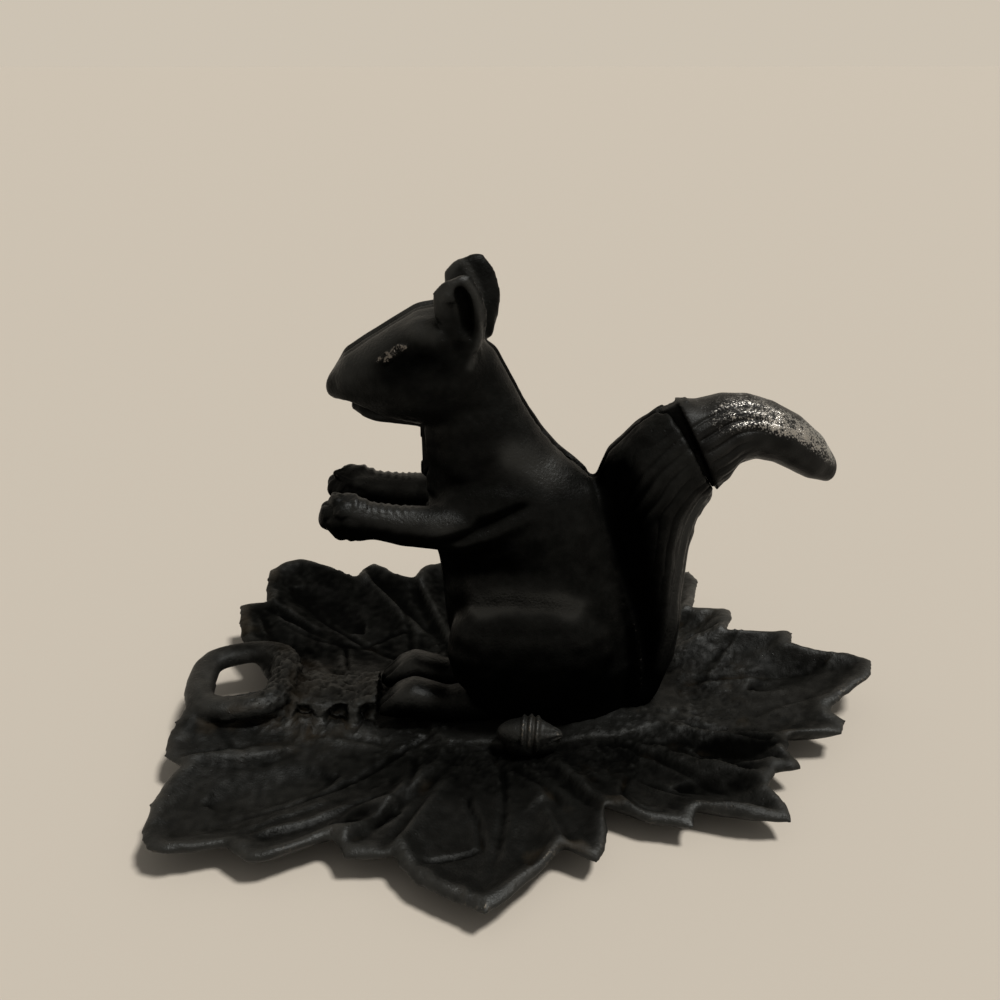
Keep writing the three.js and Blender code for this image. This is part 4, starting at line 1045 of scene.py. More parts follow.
    def face_rise(self, points: np.ndarray) -> np.ndarray:
        """Eyes with their sockets, brows, cheeks, nose and the strips along the forehead seam.

        Args:
            points: places on the surface, one row for each.

        Returns:
            Rise at each point, negative where the surface sinks.
        """
        x, y, z = points.T
        out = np.abs(y)
        mirrored = np.stack([x, out, z], axis=1)
        total = np.zeros(len(points))
        for form in FACE_FORMS.values():
            away = (mirrored - np.array(form.place) * MM) / (np.array(form.radii) * MM)
            total += form.height * MM * np.exp(-np.einsum("ij,ij->i", away, away))
        gap, share, _ = along_curve(points[:, [0, 2]], BROW)
        brow = FACE_SIDES.share(points) * window(share, 0.0, 0.2, 0.7, 1.0)
        total += self.brow_rise * brow * hill(gap, 0.0016)
        coarse, fine = self.eye_lumps
        lumps = coarse * pebbles(points, 0.0023, 13) + fine * pebbles(points, 0.0011, 14)
        total += self.eye_mask(points) * lumps
        crest = FOREHEAD_SEAM.share(points)
        total += self.strip_rise * crest * SEAM_STRIP.share(points)
        total -= self.strip_groove * crest * hill(out - 0.0026, 0.0006)
        nape = NAPE_SEAM.share(points)
        total += self.nape_rise * nape * ramp(y, 0.0004, 0.0009)
        total -= self.strip_groove * nape * hill(y + 0.0003, 0.0007)
        gaps = hill(x - 0.0015, 0.0014) + hill(x - 0.0090, 0.0030)
        total -= self.nape_gap * nape * gaps * hill(y - 0.0004, 0.0011)
        return total

    def eye_mask(self, points: np.ndarray) -> np.ndarray:
        """1 on the crusty eyes and 0 elsewhere.

        Args:
            points: places on the surface, one row for each.

        Returns:
            Values from 0 to 1.
        """
        away = points[:, [0, 2]] - np.array([-0.0415, 0.1275])
        along = away @ np.array([0.86, 0.51])
        across = away @ np.array([-0.51, 0.86])
        shape = (along / 0.0056) ** 2 + (across / 0.0013) ** 2 + waves(points, 0.0019, 17)
        return ramp(shape, 1.3, 0.6) * FACE_SIDES.share(points)

    def ear_rise(self, points: np.ndarray) -> np.ndarray:
        """Deep fold down the middle of each ear, with a rounded ridge in front of it.

        Args:
            points: places on the surface, one row for each.

        Returns:
            Rise at each point, negative where the surface sinks.
        """
        total = np.zeros(len(points))
        for side, back in ((Side.LEFT, 0.0), (Side.RIGHT, self.ear_offset)):
            here = EARS.share(points) * (np.sign(points[:, 1]) == side.value)
            gap, share, turned = along_curve(points[:, [0, 2]] - np.array([back, 0]), EAR_FOLD)
            fade = window(share, 0.0, 0.15, 0.85, 1.0)
            signed = gap * turned
            total -= self.ear_fold * here * fade * hill(signed, 0.0012)
            total += self.ear_ridge * here * fade * hill(signed + 0.0030, 0.0019)
            total -= self.ear_back * here * hill(signed - 0.0042, 0.0012)
        return total

    def limb_rise(self, points: np.ndarray) -> np.ndarray:
        """Knuckles on the paws, small beads along the arms, and toes.

        Args:
            points: places on the surface, one row for each.

        Returns:
            Rise at each point, negative where the surface sinks.
        """
        knuckles = self.knuckle_rise * pebbles(points * np.array([1.0, 1.0, 0.8]), self.knuckle_size, 11)
        total = PAWS.share(points) * (knuckles - 0.0004)
        turns = 2 * math.pi * points[:, 0] / self.bead_pitch + 2 * waves(points, 0.006, 15)
        total += self.bead_rise * FOREARMS.share(points) * (0.5 + 0.5 * np.sin(turns))
        gap = (np.abs(points[:, 1]) - 0.0035) % self.toe_pitch - self.toe_pitch / 2
        total -= self.toe_groove * TOES.share(points) * hill(gap, 0.0006)
        return total

    def seam_rise(self, points: np.ndarray) -> np.ndarray:
        """Groove along the seam, with the ragged casting edge down the nape.

        Args:
            points: places on the surface, one row for each.

        Returns:
            Rise at each point, negative where the surface sinks.
        """
        out = np.abs(points[:, 1])
        ragged = LOW_NAPE.share(points) * hill(out, 0.0016) * waves(points, 0.0016, 31)
        return self.nape_ragged * ragged - self.seam_groove * hill(out, self.seam_width)

    def masks(self, clay: Clay) -> None:
        """Paints dust in the hollows and on the feet, faint bare metal on the high places, light bare metal
        on the eyes as a painted highlight, and the gloss mask with its painted light.

        Args:
            clay: the shaped points, which get the masks.
        """
        points = clay.points
        hollow = clay.hollows(14)
        dust = 0.2 + 0.5 * NEAR_THE_FEET.share(points)
        dust += 900 * np.clip(hollow, 0, None) + 0.3 * waves(points, 0.02, 41)
        clay.paint("dust", dust)
        crest = ramp(-hollow, 0.00025, 0.0008) * BELOW_THE_EARS.share(points)
        # Painted highlight: light bare metal on the eyes stands in for their glint.
        glint = self.eye_mask(points) * ramp(-hollow, 0.0, 0.0004)
        clay.paint("bare", 0.1 * crest + 0.4 * glint)
        clay.paint("gloss_and_painted_light", self.gloss_and_painted_light(clay, hollow))

    def gloss_and_painted_light(self, clay: Clay, hollow: np.ndarray) -> np.ndarray:
        """How glossy the paint is, with painted light: 0 in the valleys and hollows and on the steep flanks,
        which is painted shade, as the material also darkens the colour there, and up to 1 on the places of
        painted highlight.

        Args:
            clay: the piece's points.
            hollow: how deep each point lies in a hollow.

        Returns:
            Gloss at each point, which the painting holds between 0 and 1.
        """
        points = clay.points
        side_view = points[:, [0, 2]]
        steep = ramp(clay.normals()[:, 2], 0.25, -0.15) * BODY_FLANKS.share(points)
        valley = window(self.beyond_rump(points), -0.001, 0.002, 0.0040, 0.0130)
        valley *= BELOW_THE_WAIST.share(points)
        # Painted shade: less gloss and a darker colour on the steep and downward-facing flanks, in the
        # valley beside the rump and in the hollows.
        total = 0.45 - 0.3 * steep - 0.4 * valley - 260 * np.clip(hollow, 0, None)
        # Painted highlights on the listed places, and painted shade in the eye socket.
        for place in PAINTED_LIGHT_PLACES.values():
            total += place.strength * stroke_profile(side_view, place)[0]
        streaks = waves(points * np.array([0.5, 1, 1.4]), 0.0035, 43) + 0.8 * waves(points, 0.0012, 44)
        return total + 0.055 * streaks

    def shell(self, body: bpy.types.Object, side: Side) -> bpy.types.Object:
        """Cuts one shell from the fused body.

        Args:
            body: the fused body, which is kept.
            side: which shell.

        Returns:
            The shell, closed along the seam.
        """
        name = side.name.lower()
        shell = bpy.data.objects.new(f"squirrel_{name}_shell", body.data.copy())
        bpy.context.scene.collection.objects.link(shell)
        select_only(shell)
        bpy.ops.object.mode_set(mode="EDIT")
        bpy.ops.mesh.select_all(action="SELECT")
        bpy.ops.mesh.bisect(
            plane_co=(0, side.value * self.seam_gap / 2, 0),
            plane_no=(0, 1, 0),
            use_fill=True,
            clear_inner=side is Side.RIGHT,
            clear_outer=side is Side.LEFT,
        )
        bpy.ops.object.mode_set(mode="OBJECT")
        finish_piece(shell, STAND, Slot.SHELLS, f"{name}_body_half")
        return shell


# The tail lever


JAW_TIP = Zone(x=(-49, -52))
TONGUE_INSIDE = Zone(x=(34, 36), out=(2.8, 2.4))
STEM_FRONT = Zone(x=(-60, -45, -33.5, -32.5), z=(106, 104))


@dataclass
class TailLever:
    """Tail handle, beam and lower jaw in one casting."""

    voxel: float = 0.0005
    fur_depth: float = 0.0009
    fur_lines: float = 3.6
    tongue_push: tuple[float, float] = (-0.00022, -0.00014)

    def build(self) -> bpy.types.Object:
        """Makes the lever.

        Returns:
            The piece.
        """
        piece = copy_of("tail_lever_casting", ["tail_lever"])
        remesh(piece, self.voxel)
        clay = Clay(piece)
        handle = self.on_handle(clay.points)
        clay.soften(110, 0.035, handle)
        self.carve(clay)
        self.masks(clay)
        clay.write()
        finish_piece(piece, LEVER, Slot.HANDLE, "tail_lever")
        return piece

    def place_on_handle(self, points: np.ndarray) -> tuple[np.ndarray, np.ndarray]:
        """Place of each point on the handle, seen from the side.

        Args:
            points: places in space, one row for each.

        Returns:
            Share of the handle's length from the split, and place across it from -1 to 1, up positive.
        """
        gap, share, side = along_curve(points[:, [0, 2]], HANDLE_MIDDLE)
        return share, side * gap / (0.0135 - 0.0055 * ramp(share, 0.1, 0.6))

    def on_handle(self, points: np.ndarray) -> np.ndarray:
        """1 on the handle beyond its flat root face and 0 on the beam and jaw."""
        return ramp(beyond_split(points), 0.0022, 0.005)

    def carve(self, clay: Clay) -> None:
        """Carves the fur strokes that start at the split and fade along the handle.

        Args:
            clay: the piece's points, which are moved.
        """
        points = clay.points
        share, place = self.place_on_handle(points)
        phase = self.fur_lines * place + 0.22 * waves(points * np.array([0.35, 1, 1]), 0.008, 51)
        stroke = np.abs((phase % 1.0) - 0.5) * 2
        groove = -ramp(stroke, 0.42, 0.0) + 0.4 * ramp(stroke, 0.55, 1.0)
        fade = ramp(share - 0.3 - 0.16 * place, 0.16, -0.12) * ramp(place, 0.85, 0.6)
        flank = ramp(np.abs(points[:, 1]), 0.001, 0.004)
        rise = self.fur_depth * groove * fade * flank * self.on_handle(points)
        rise += 0.00015 * waves(points, 0.009, 53) + 0.00005 * waves(points, 0.003, 55)
        clay.push(rise)
        self.fit_inside(clay)

    def fit_inside(self, clay: Clay) -> None:
        """Draws the jaw and tongue to where the shells leave room, and shapes the jaw's lip.

        Args:
            clay: the lever, whose points are moved.
        """
        x, _, z = clay.points.T
        x += 0.4 * JAW_TIP.share(clay.points) * np.abs(x + 0.049)
        z -= 0.0010 * hill(x + 0.0470, 0.0050) * ramp(z, 0.1130, 0.1100)
        reach = np.hypot(x - PIVOT[0], z - PIVOT[1])
        inner = window(reach, 0.040, 0.0435, 0.0462, 0.0470) * TONGUE_INSIDE.share(clay.points)
        x += self.tongue_push[0] * inner
        z += self.tongue_push[1] * inner
        x += STEM_FRONT.share(clay.points) * np.clip(-0.0335 - x, 0, None)

    def masks(self, clay: Clay) -> None:
        """Paints bare metal where the palm has worn it: a plain strip on top, a speckled band below.

        Args:
            clay: the shaped points, which get the masks.
        """
        points = clay.points
        share, place = self.place_on_handle(points)
        hollow = clay.hollows(8)
        crest = ramp(-hollow, -0.00004, 0.0001)
        specks = waves(points, 0.0011, 61) + 0.6 * waves(points * np.array([0.4, 1, 1]), 0.0035, 62)
        band = window(place, 0.0, 0.4, 0.72, 0.9) * ramp(share, 0.05, 0.5)
        strip = ramp(place, 0.75, 0.9) * ramp(share, 0.02, 0.2)
        bare = band * (0.30 + 0.16 * crest + 0.24 * specks) * ramp(share, 1.04, 0.84) + 0.07 * strip
        handle = self.on_handle(points)
        clay.paint("bare", bare * handle)
        clay.paint("gloss_and_painted_light", 0.45 + 0.16 * handle + 0.12 * waves(points, 0.003, 63))
        clay.paint("dust", 0.2 + 1200 * np.clip(hollow, 0, None))


# The leaf tray


@dataclass(frozen=True)
class Hollow:
    """Long hollow sunk into the leaf along a middle line in plan, in millimetres."""

    corners: tuple[tuple[float, float], ...]
    width: float
    depth: float


@dataclass(frozen=True)
class Fold:
    """Raised fold along a line in plan, in millimetres: steep on the right of its way, soft on the left."""

    corners: tuple[tuple[float, float], ...]
    height: float
    width: float = 4.5


RING = Zone(x=(-72, -78), y=(-24, -19, 25, 30))
RIDGE_FOOT = Zone(x=(-46, -50), out=(15, 12.5))
RIDGE_SIDES = Zone(x=(-46, -50), out=(19, 16.5))
RIDGE_LENGTH = Zone(x=(-94, -88, -48, -44))
RIDGE_TOP = Zone(x=(-90, -86, -50, -47), z=(4.5, 7), out=(16.5, 12))
# Ridge with more gloss, partly wear and partly painted highlight.
RIDGE_WEAR_AND_HIGHLIGHT = Zone(x=(-46, -50), out=(19, 14))
NICHE_FACE = Zone(y=(-18, -16, -11, -8.5))
ABOVE_THE_NUBS = Zone(z=(1.2, 3))
UNDER_THE_ACORN = Zone(z=(7.5, 9.5))
BESIDE_THE_RUMP = Zone(x=(4, 18), y=(-4, -12))
# Zones of painted shade on the tray: the squirrel's painted shadow before it, and the far lobes.
BEFORE_THE_SQUIRREL = Zone(y=(-20, -28))
FAR_LOBES = Zone(x=(35, 15), y=(18, 30))
LEAF_HOLLOWS = (
    Hollow(((-60, -58.5), (-52.5, -54.8), (-42, -53)), 5, 2.1),
    Hollow(((48, -30), (55, -31), (65, -31.8), (73.5, -33.5)), 5.2, 2.2),
    Hollow(((38, -46), (53, -47), (68, -48)), 4.8, 1.8),
    Hollow(((73, -1), (86, 4), (100, 6)), 7.2, 1.8),
    Hollow(((-89, 65), (-74, 54), (-60, 43)), 8.5, 1.8),
    Hollow(((-30, 78), (-20, 60), (-15, 45)), 7, 1.8),
    Hollow(((-96, -48), (-80, -42), (-62, -34)), 9, 1.4),
    Hollow(((-6, -78), (-4, -64), (0, -50)), 6, 1.4),
    Hollow(((18, -62), (15, -50), (15, -40)), 5, 1.2),
)
LEAF_FOLDS = (
    Fold(((-88.8, -64.5), (-78, -60.7), (-69.4, -57.8), (-57.5, -49.6), (-43, -40)), 1.7),
    Fold(((-104.9, -65.1), (-86.7, -60.3), (-76.9, -54.9), (-66.7, -49.2), (-50, -40)), 1),
    Fold(((-109.9, -33.5), (-102.6, -31.6), (-92.8, -31.3), (-81.8, -27.1), (-74, -20)), 1.8),
    Fold(((-42, -48.8), (-51.1, -49), (-56.4, -52.9), (-59.5, -58.1)), 1.6, 2.8),
    Fold(((74.5, -36.9), (71.9, -29), (66.6, -25.6), (60, -25), (52, -26.2)), 1.9, 3.2),
    Fold(((74.1, -42.1), (67.7, -40.3), (55.2, -38.5), (39.2, -38.2)), 1.4, 3),
    Fold(((93.8, -13.6), (82.8, -13.9), (68.5, -18.6), (58.8, -23.2), (45, -24)), 1.4),
    Fold(((65.1, -62.5), (55.3, -59), (44, -58), (28, -59)), 1.4, 3.5),
    Fold(((86.9, 30.9), (74.9, 22.5), (63.6, 10.3), (55.3, -1.3)), 1.6),
    Fold(((74.7, 41), (64.6, 29.7), (53.5, 17.1)), 1.4),
    Fold(((-65.7, 30.5), (-83.6, 40.5), (-90.4, 45.5), (-97.2, 60.7)), 1.8),
    Fold(((-90.4, 10.8), (-95.3, 38.8), (-104.8, 51.1)), 1.4),
    Fold(((-35, 38), (-48, 56), (-56, 70)), 1.6),
)
LEAF_CRACKS = (
    ((-21.8, -44), (-21.8, -50.6), (-19.1, -58.9), (-18.4, -70.4)),
    ((-35.1, -74.4), (-25.5, -71.3), (-18.4, -67.9)),
    ((-99.3, -14.6), (-94.1, -24.9), (-90.8, -26.7), (-87, -26.2)),
    ((-92.7, -11.5), (-87.7, -21.9)),
    ((25.5, -38.4), (22.5, -48.6), (24.9, -57.1), (34.8, -59.7)),
    ((28.5, -41.6), (36, -47), (44.2, -51.2)),
    ((-65.9, 31.4), (-64, 24), (-63.3, 16.4)),
    ((-59, 33.3), (-50, 39), (-41.5, 41.6)),
)


@dataclass
class LeafTray:
    """Leaf with its rims, veins, folded leaflets, ring, ridge and rough ground."""

    voxel: float = 0.0009
    centre: tuple[float, float] = (-0.0112, 0.0)
    rim_rise: float = 0.0006
    rim_width: float = 0.0020
    vein_depth: float = 0.0009
    vein_width: float = 0.0009
    vein_angles: tuple[float, ...] = (-145, -94.4, -39, 1.2, 42.9, 96, 140.5)
    fold_rise: float = 0.0015
    cup_depth: float = 0.0013
    outline_steps: int = 1080
    tooth_span: int = 9
    lobe_span: int = 54
    stem_turn: float = 168.0
    niches: tuple[float, ...] = (-0.0742, -0.0639, -0.0538)
    niche_depth: float = 0.0035
    rim_valley: float = 0.0004
    swell: float = 0.0006
    ripples: tuple[float, float] = (0.00022, 0.0001)
    acorn_bed: float = 0.0024
    nibble: float = 0.0007
    fold_front: float = 0.35
    crack_bank: float = 0.0003
    crack_depth: float = 0.0010
    crumb_rise: float = 0.0011
    heap_rise: float = 0.0012
    grain_rise: float = 0.0006
    ridge_lumps: tuple[float, float] = (0.0011, 0.0007)

    def build(self) -> bpy.types.Object:
        """Makes the tray.

        Returns:
            The piece.
        """
        piece = copy_of("leaf_tray_casting", ["leaf_tray"])
        remesh(piece, self.voxel)
        clay = Clay(piece)
        self.plan(clay)
        self.level(clay)
        self.carve(clay)
        self.masks(clay)
        clay.write()
        finish_piece(piece, STAND, Slot.TRAY, "leaf_tray")
        return piece

    def plan(self, clay: Clay) -> None:
        """Finds the leaf's outline in plan, its tips and notches, and each point's place in it.

        Args:
            clay: the leaf's points.
        """
        points = clay.points
        away = points[:, :2] - np.array(self.centre)
        self.angle = np.arctan2(away[:, 1], away[:, 0])
        self.reach = np.linalg.norm(away, axis=1)
        ring = (points[:, 0] < -0.076) & (np.abs(points[:, 1] - 0.003) < 0.0235)
        bins = self.outline_steps
        place = ((self.angle + math.pi) / (2 * math.pi) * bins).astype(int) % bins
        furthest = np.zeros(bins)
        np.maximum.at(furthest, place[~ring], self.reach[~ring])
        turns = (np.arange(bins) + 0.5) / bins * 2 * math.pi - math.pi
        known = furthest > 0.03
        furthest = np.interp(turns, turns[known], furthest[known])
        self.turns, self.reaches = turns, furthest
        outline = np.stack([np.cos(turns), np.sin(turns)], axis=1) * furthest[:, None]
        outline += np.array(self.centre)
        self.rim_gap = self.distance_from(points[:, :2], outline)
        self.ring = RING.share(points)
        self.share = self.reach / np.interp(self.angle, turns, furthest)
        self.find_teeth()

    def find_teeth(self) -> None:
        """Finds the tips of the outline, and its notches with the share of the reach where each begins."""
        near, wide = self.tooth_span, self.lobe_span
        doubled = np.concatenate([self.reaches[-near:], self.reaches, self.reaches[:near]])
        smooth = np.convolve(doubled, np.ones(2 * near + 1) / (2 * near + 1), "valid")
        self.notches, self.tips = [], []
        for place in range(len(smooth)):
            turn = self.turns[place]
            if abs(math.degrees(turn)) > self.stem_turn:
                continue
            nearby = np.take(smooth, range(place - near, place + near + 1), mode="wrap")
            around = np.take(smooth, range(place - wide, place + wide + 1), mode="wrap")
            if smooth[place] <= nearby.min():
                depth = 1 - smooth[place] / around.max()
                self.notches.append((turn, float(np.clip(0.78 - 1.7 * depth, 0.24, 0.78))))
            if smooth[place] >= nearby.max():
                self.tips.append((turn, self.reaches[place]))

    def distance_from(self, flat: np.ndarray, outline: np.ndarray) -> np.ndarray:
        """Distance of each flat point from a closed outline, walked in small steps.

        Args:
            flat: points in plan, one row for each.
            outline: points along the closed outline.

        Returns:
            The distances.
        """
        following = np.roll(outline, -1, axis=0)
        steps = [outline + (following - outline) * share for share in np.linspace(0, 1, 5)[:-1]]
        stations = np.vstack(steps)
        tree = kdtree.KDTree(len(stations))
        for place, (x, y) in enumerate(stations):
            tree.insert((x, y, 0), place)
        tree.balance()
        return np.array([tree.find((x, y, 0))[2] for x, y in flat])

    def plinth_span(self, points: np.ndarray) -> np.ndarray:
        """Measure that is 1 on the plinth's foot and grows outwards.

        Args:
            points: places on the surface, one row for each.

        Returns:
            The measure at each point.
        """
        across = np.abs(points[:, 1] / 0.0255)
        along = points[:, 0] - 0.005
        along = np.abs(np.where(along < 0, along / 0.041, along / 0.044))
        return (along**3 + across**3) ** (1 / 3)

    def acorn_gap(self, points: np.ndarray) -> np.ndarray:
        """Distance in plan from the acorn's middle line."""
        along = points[:, 0] + 0.0032
        return np.hypot(along - np.clip(along, -0.005, 0.005), points[:, 1] + 0.0254)

    def solid_ground(self, points: np.ndarray) -> np.ndarray:
        """1 on the ridge, plinth, acorn and ring, and 0 on the bare leaf.

        Args:
            points: places on the surface, one row for each.

        Returns:
            Values from 0 to 1.
        """
        plinth = ramp(self.plinth_span(points), 1.12, 1.02)
        acorn = ramp(self.acorn_gap(points), 0.0095, 0.0075)
        return np.maximum.reduce([RIDGE_FOOT.share(points), plinth, acorn, self.ring])

    def level(self, clay: Clay) -> None:
        """Evens out the facets of the dish and rounds its rims.

        Args:
            clay: the tray's points, which are moved.
        """
        points = clay.points
        free = ramp(self.rim_gap, 0.001, 0.008) * (1 - self.solid_ground(points))
        nubs = ABOVE_THE_NUBS.share(points)
        clay.level(260, 0.9 * free * nubs)
        rim = ramp(self.rim_gap, 0.009, 0.003) * (1 - self.ring) * nubs
        clay.soften(60, 0.02, 0.9 * rim)
        clay.soften(40, 0.05, np.maximum(self.ring, 0.4 * RIDGE_SIDES.share(points)))

    def carve(self, clay: Clay) -> None:
        """Carves rims, leaflets, veins and rough ground into the upper side.

        Args:
            clay: the piece's points, which are moved.
        """
        points = clay.points
        upper = ramp(clay.normals()[:, 2], 0.05, 0.5)
        bare_leaf = 1 - self.solid_ground(points)
        gap = self.rim_gap
        leaf = upper * bare_leaf
        roll = 0.75 + 0.9 * waves(points, 0.009, 70)
        rise = self.rim_rise * roll * hill(gap - 0.0024, self.rim_width) * upper * (1 - self.ring)
        rise -= self.rim_valley * hill(gap - 0.0066, 0.0028) * leaf
        rise += self.leaflet_rise() * leaf
        rise += self.fold_and_hollow_rise(points) * leaf * ramp(gap, 0.0, 0.0035)
        rise += self.vein_rise(points) * leaf * ramp(gap, 0.002, 0.006)
        rise += self.swell * waves(points, 0.018, 71) * bare_leaf * ramp(gap, 0.0, 0.004)
        rise += self.ripples[0] * waves(points, 0.006, 72) + self.ripples[1] * waves(points, 0.003, 73)
        rise += self.rough_rise(points) * upper
        bed = ramp(self.acorn_gap(points), 0.0080, 0.0065) * UNDER_THE_ACORN.share(points)
        rise -= self.acorn_bed * bed
        nibble = self.nibble * hill(gap, 0.003) * (1 + waves(points, 0.0055, 74)) * (1 - self.ring)
        moved = [nibble * np.cos(self.angle), nibble * np.sin(self.angle), rise]
        clay.points = points + np.stack(moved, axis=1)
        clay.push(self.ridge_rise(clay.points))
        clay.points[:, 1] += self.niche_sink(clay.points)
        low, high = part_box("leaf_tray")
        clay.points = np.clip(clay.points, np.array(low), np.array(high))

    def leaflet_rise(self) -> np.ndarray:
        """Each leaflet is a shallow cup, and overlaps its neighbour with a lip along the notch.

        Returns:
            Rise at each point, negative where the surface sinks.
        """
        total = np.zeros(len(self.angle))
        edges = sorted(self.notches)
        turns = np.array([turn for turn, _ in edges])
        starts = np.array([start for _, start in edges])
        order = np.searchsorted(turns, self.angle)
        before, after = (order - 1) % len(edges), order % len(edges)
        from_before = (self.angle - turns[before]) % (2 * math.pi)
        to_after = (turns[after] - self.angle) % (2 * math.pi)
        width = from_before + to_after
        middle = np.sin(math.pi * from_before / width)
        veins = np.radians(self.vein_angles)
        for turn, start in edges:
            swept = (self.angle - turn + math.pi) % (2 * math.pi) - math.pi
            vein = veins[np.argmin(np.abs(veins - turn))]
            lean = 1.0 if vein > turn else -1.0
            bend = 0.16 * lean * (1 - self.share) ** 2
            sideways = self.reach * (swept + bend) * lean
            along = ramp(self.share, start, min(start + 0.3, 0.96))
            lip = np.where(sideways > 0, hill(sideways, 0.0052), hill(sideways, 0.0011))
            shade = hill(sideways + 0.0026, 0.0016)
            total += self.fold_rise * along * (lip - 0.7 * shade)
        inner = np.minimum(starts[before], starts[after])
        cup = middle**0.8 * ramp(self.share, inner, inner + 0.35) * ramp(self.rim_gap, 0.001, 0.009)
        size = np.clip(self.reach * width / 0.022, 0.2, 1.0)
        return total * ramp(self.rim_gap, 0.0, 0.004) - self.cup_depth * cup * size

    def fold_and_hollow_rise(self, points: np.ndarray) -> np.ndarray:
        """The single folds, hollows and cracks that the real leaf has in these places.

        Args:
            points: places on the surface, one row for each.

        Returns:
            Rise at each point, negative where the surface sinks.
        """
        wander = np.stack([waves(points, 0.008, 77), waves(points, 0.008, 78)], axis=1)
        flat = points[:, :2] + 0.0007 * wander
        total = np.zeros(len(points))
        self.sunk = np.zeros(len(points))
        for hollow in LEAF_HOLLOWS:
            gap, share, _ = along_curve(flat, curve_mm(*hollow.corners))
            half = hollow.width * MM * np.sqrt(np.clip(np.sin(math.pi * share), 0.02, 1))
            inside = ramp(gap / half, 1.25, 0.15)
            self.sunk = np.maximum(self.sunk, inside * ramp(hollow.depth, 1.5, 2.1))
            total -= hollow.depth * MM * inside
        uneven = 0.62 + 0.45 * waves(points, 0.0095, 79)
        for fold in LEAF_FOLDS:
            gap, share, side = along_curve(flat, curve_mm(*fold.corners))
            rolled = np.where(side > 0, np.exp(-gap / (fold.width * MM)), hill(gap, 0.0008))
            rolled -= self.fold_front * hill(gap - 0.0024, 0.0016) * (side < 0)
            total += fold.height * MM * uneven * window(share, 0.0, 0.2, 0.7, 1.0) * rolled
        for crack in LEAF_CRACKS:
            gap, share, _ = along_curve(flat, curve_mm(*crack))
            fade = window(share, 0.0, 0.15, 0.8, 1.0)
            bank = self.crack_bank * hill(gap - 0.0018, 0.0014)
            total += fade * (bank - self.crack_depth * hill(gap, 0.0007))
        return total

    def vein_rise(self, points: np.ndarray) -> np.ndarray:
        """Main veins to the lobes and side veins to the teeth, cut as soft grooves with banks.

        Args:
            points: places on the surface, one row for each.

        Returns:
            Rise at each point, negative where the surface sinks.
        """
        total = np.zeros(len(points))
        centre = np.array(self.centre)
        veins = np.radians(self.vein_angles)
        for turn in veins:
            run = np.array([math.cos(turn), math.sin(turn)])
            aside = np.array([-run[1], run[0]])
            reach = np.interp(turn, self.turns, self.reaches)
            middle = centre + 0.55 * reach * run + 0.035 * reach * aside
            total += self.groove(points, [centre + 0.02 * run, middle, centre + 0.93 * reach * run], 1.0)
        for turn, reach in self.tips:
            vein = veins[np.argmin(np.abs(veins - turn))]
            if abs(vein - turn) < math.radians(4):
                continue
            main_reach = np.interp(vein, self.turns, self.reaches)
            root_share = 0.28 + 0.8 * max(0.0, 0.4 - abs(vein - turn))
            root = centre + root_share * main_reach * np.array([math.cos(vein), math.sin(vein)])
            tip = centre + 0.9 * reach * np.array([math.cos(turn), math.sin(turn)])
            run = tip - root
            aside = np.array([-run[1], run[0]]) * math.copysign(0.1, turn - vein)
            total += self.groove(points, [root, 0.5 * (root + tip) + aside, tip], 0.7)
        return total

    def groove(self, points: np.ndarray, corners: list[np.ndarray], strength: float) -> np.ndarray:
        """One soft groove that fades at its far end.

        Args:
            points: places on the surface, one row for each.
            corners: places that the groove passes, in plan.
            strength: share of the veins' own depth.

        Returns:
            Rise at each point, negative where the surface sinks.
        """
        gap, share, _ = along_curve(points[:, :2], curve_through(corners, 6))
        fade = window(share, 0.0, 0.1, 0.6, 1.0)
        bank = 0.4 * hill(gap - 2.4 * self.vein_width, 1.5 * self.vein_width)
        return self.vein_depth * strength * fade * (bank - hill(gap, self.vein_width))

    def rough_mask(self, points: np.ndarray) -> np.ndarray:
        """1 on the crumbly ground round the squirrel and the ridge, and 0 on the clean leaf.

        Args:
            points: places on the surface, one row for each.

        Returns:
            Values from 0 to 1.
        """
        span = self.plinth_span(points)
        ring = ramp(span + 0.22 * waves(points, 0.011, 85), 1.75, 1.3) * ramp(span, 0.96, 1.05)
        beside = np.abs(points[:, 1]) + 0.003 * waves(points, 0.009, 86)
        return np.maximum(ring, ramp(beside, 0.0225, 0.0165) * RIDGE_LENGTH.share(points))

    def rough_rise(self, points: np.ndarray) -> np.ndarray:
        """Crumbly ground, highest beside the rump, fading into scattered grains.

        Args:
            points: places on the surface, one row for each.

        Returns:
            Rise at each point, negative where the surface sinks.
        """
        rough = self.rough_mask(points)
        heap = ramp(self.plinth_span(points), 1.32, 1.02) * BESIDE_THE_RUMP.share(points)
        crumbs = 0.7 * pebbles(points, 0.0026, 83) + 0.5 * pebbles(points, 0.0014, 84)
        total = rough * (self.crumb_rise * crumbs - 0.0004 + 0.0005 * waves(points, 0.005, 87))
        total += self.heap_rise * heap * (1 + 0.75 * pebbles(points, 0.0034, 88))
        grains = pebbles(points, 0.0034, 89)
        scattered = ramp(self.plinth_span(points), 2.5, 1.4) * ramp(waves(points, 0.005, 90), 0.25, 0.6)
        return total + self.grain_rise * scattered * ramp(grains, 0.55, 0.9) * (1 - rough)

    def niche_sink(self, points: np.ndarray) -> np.ndarray:
        """How far the near side of the ridge is sunk at its three round niches.

        Args:
            points: places on the surface, one row for each.

        Returns:
            The way inwards at each point.
        """
        x, _, z = points.T
        total = np.zeros(len(points))
        for middle in self.niches:
            total += ramp(((x - middle) / 0.0033) ** 2 + ((z - 0.0088) / 0.0048) ** 2, 1.2, 0.4)
        return self.niche_depth * total * NICHE_FACE.share(points)

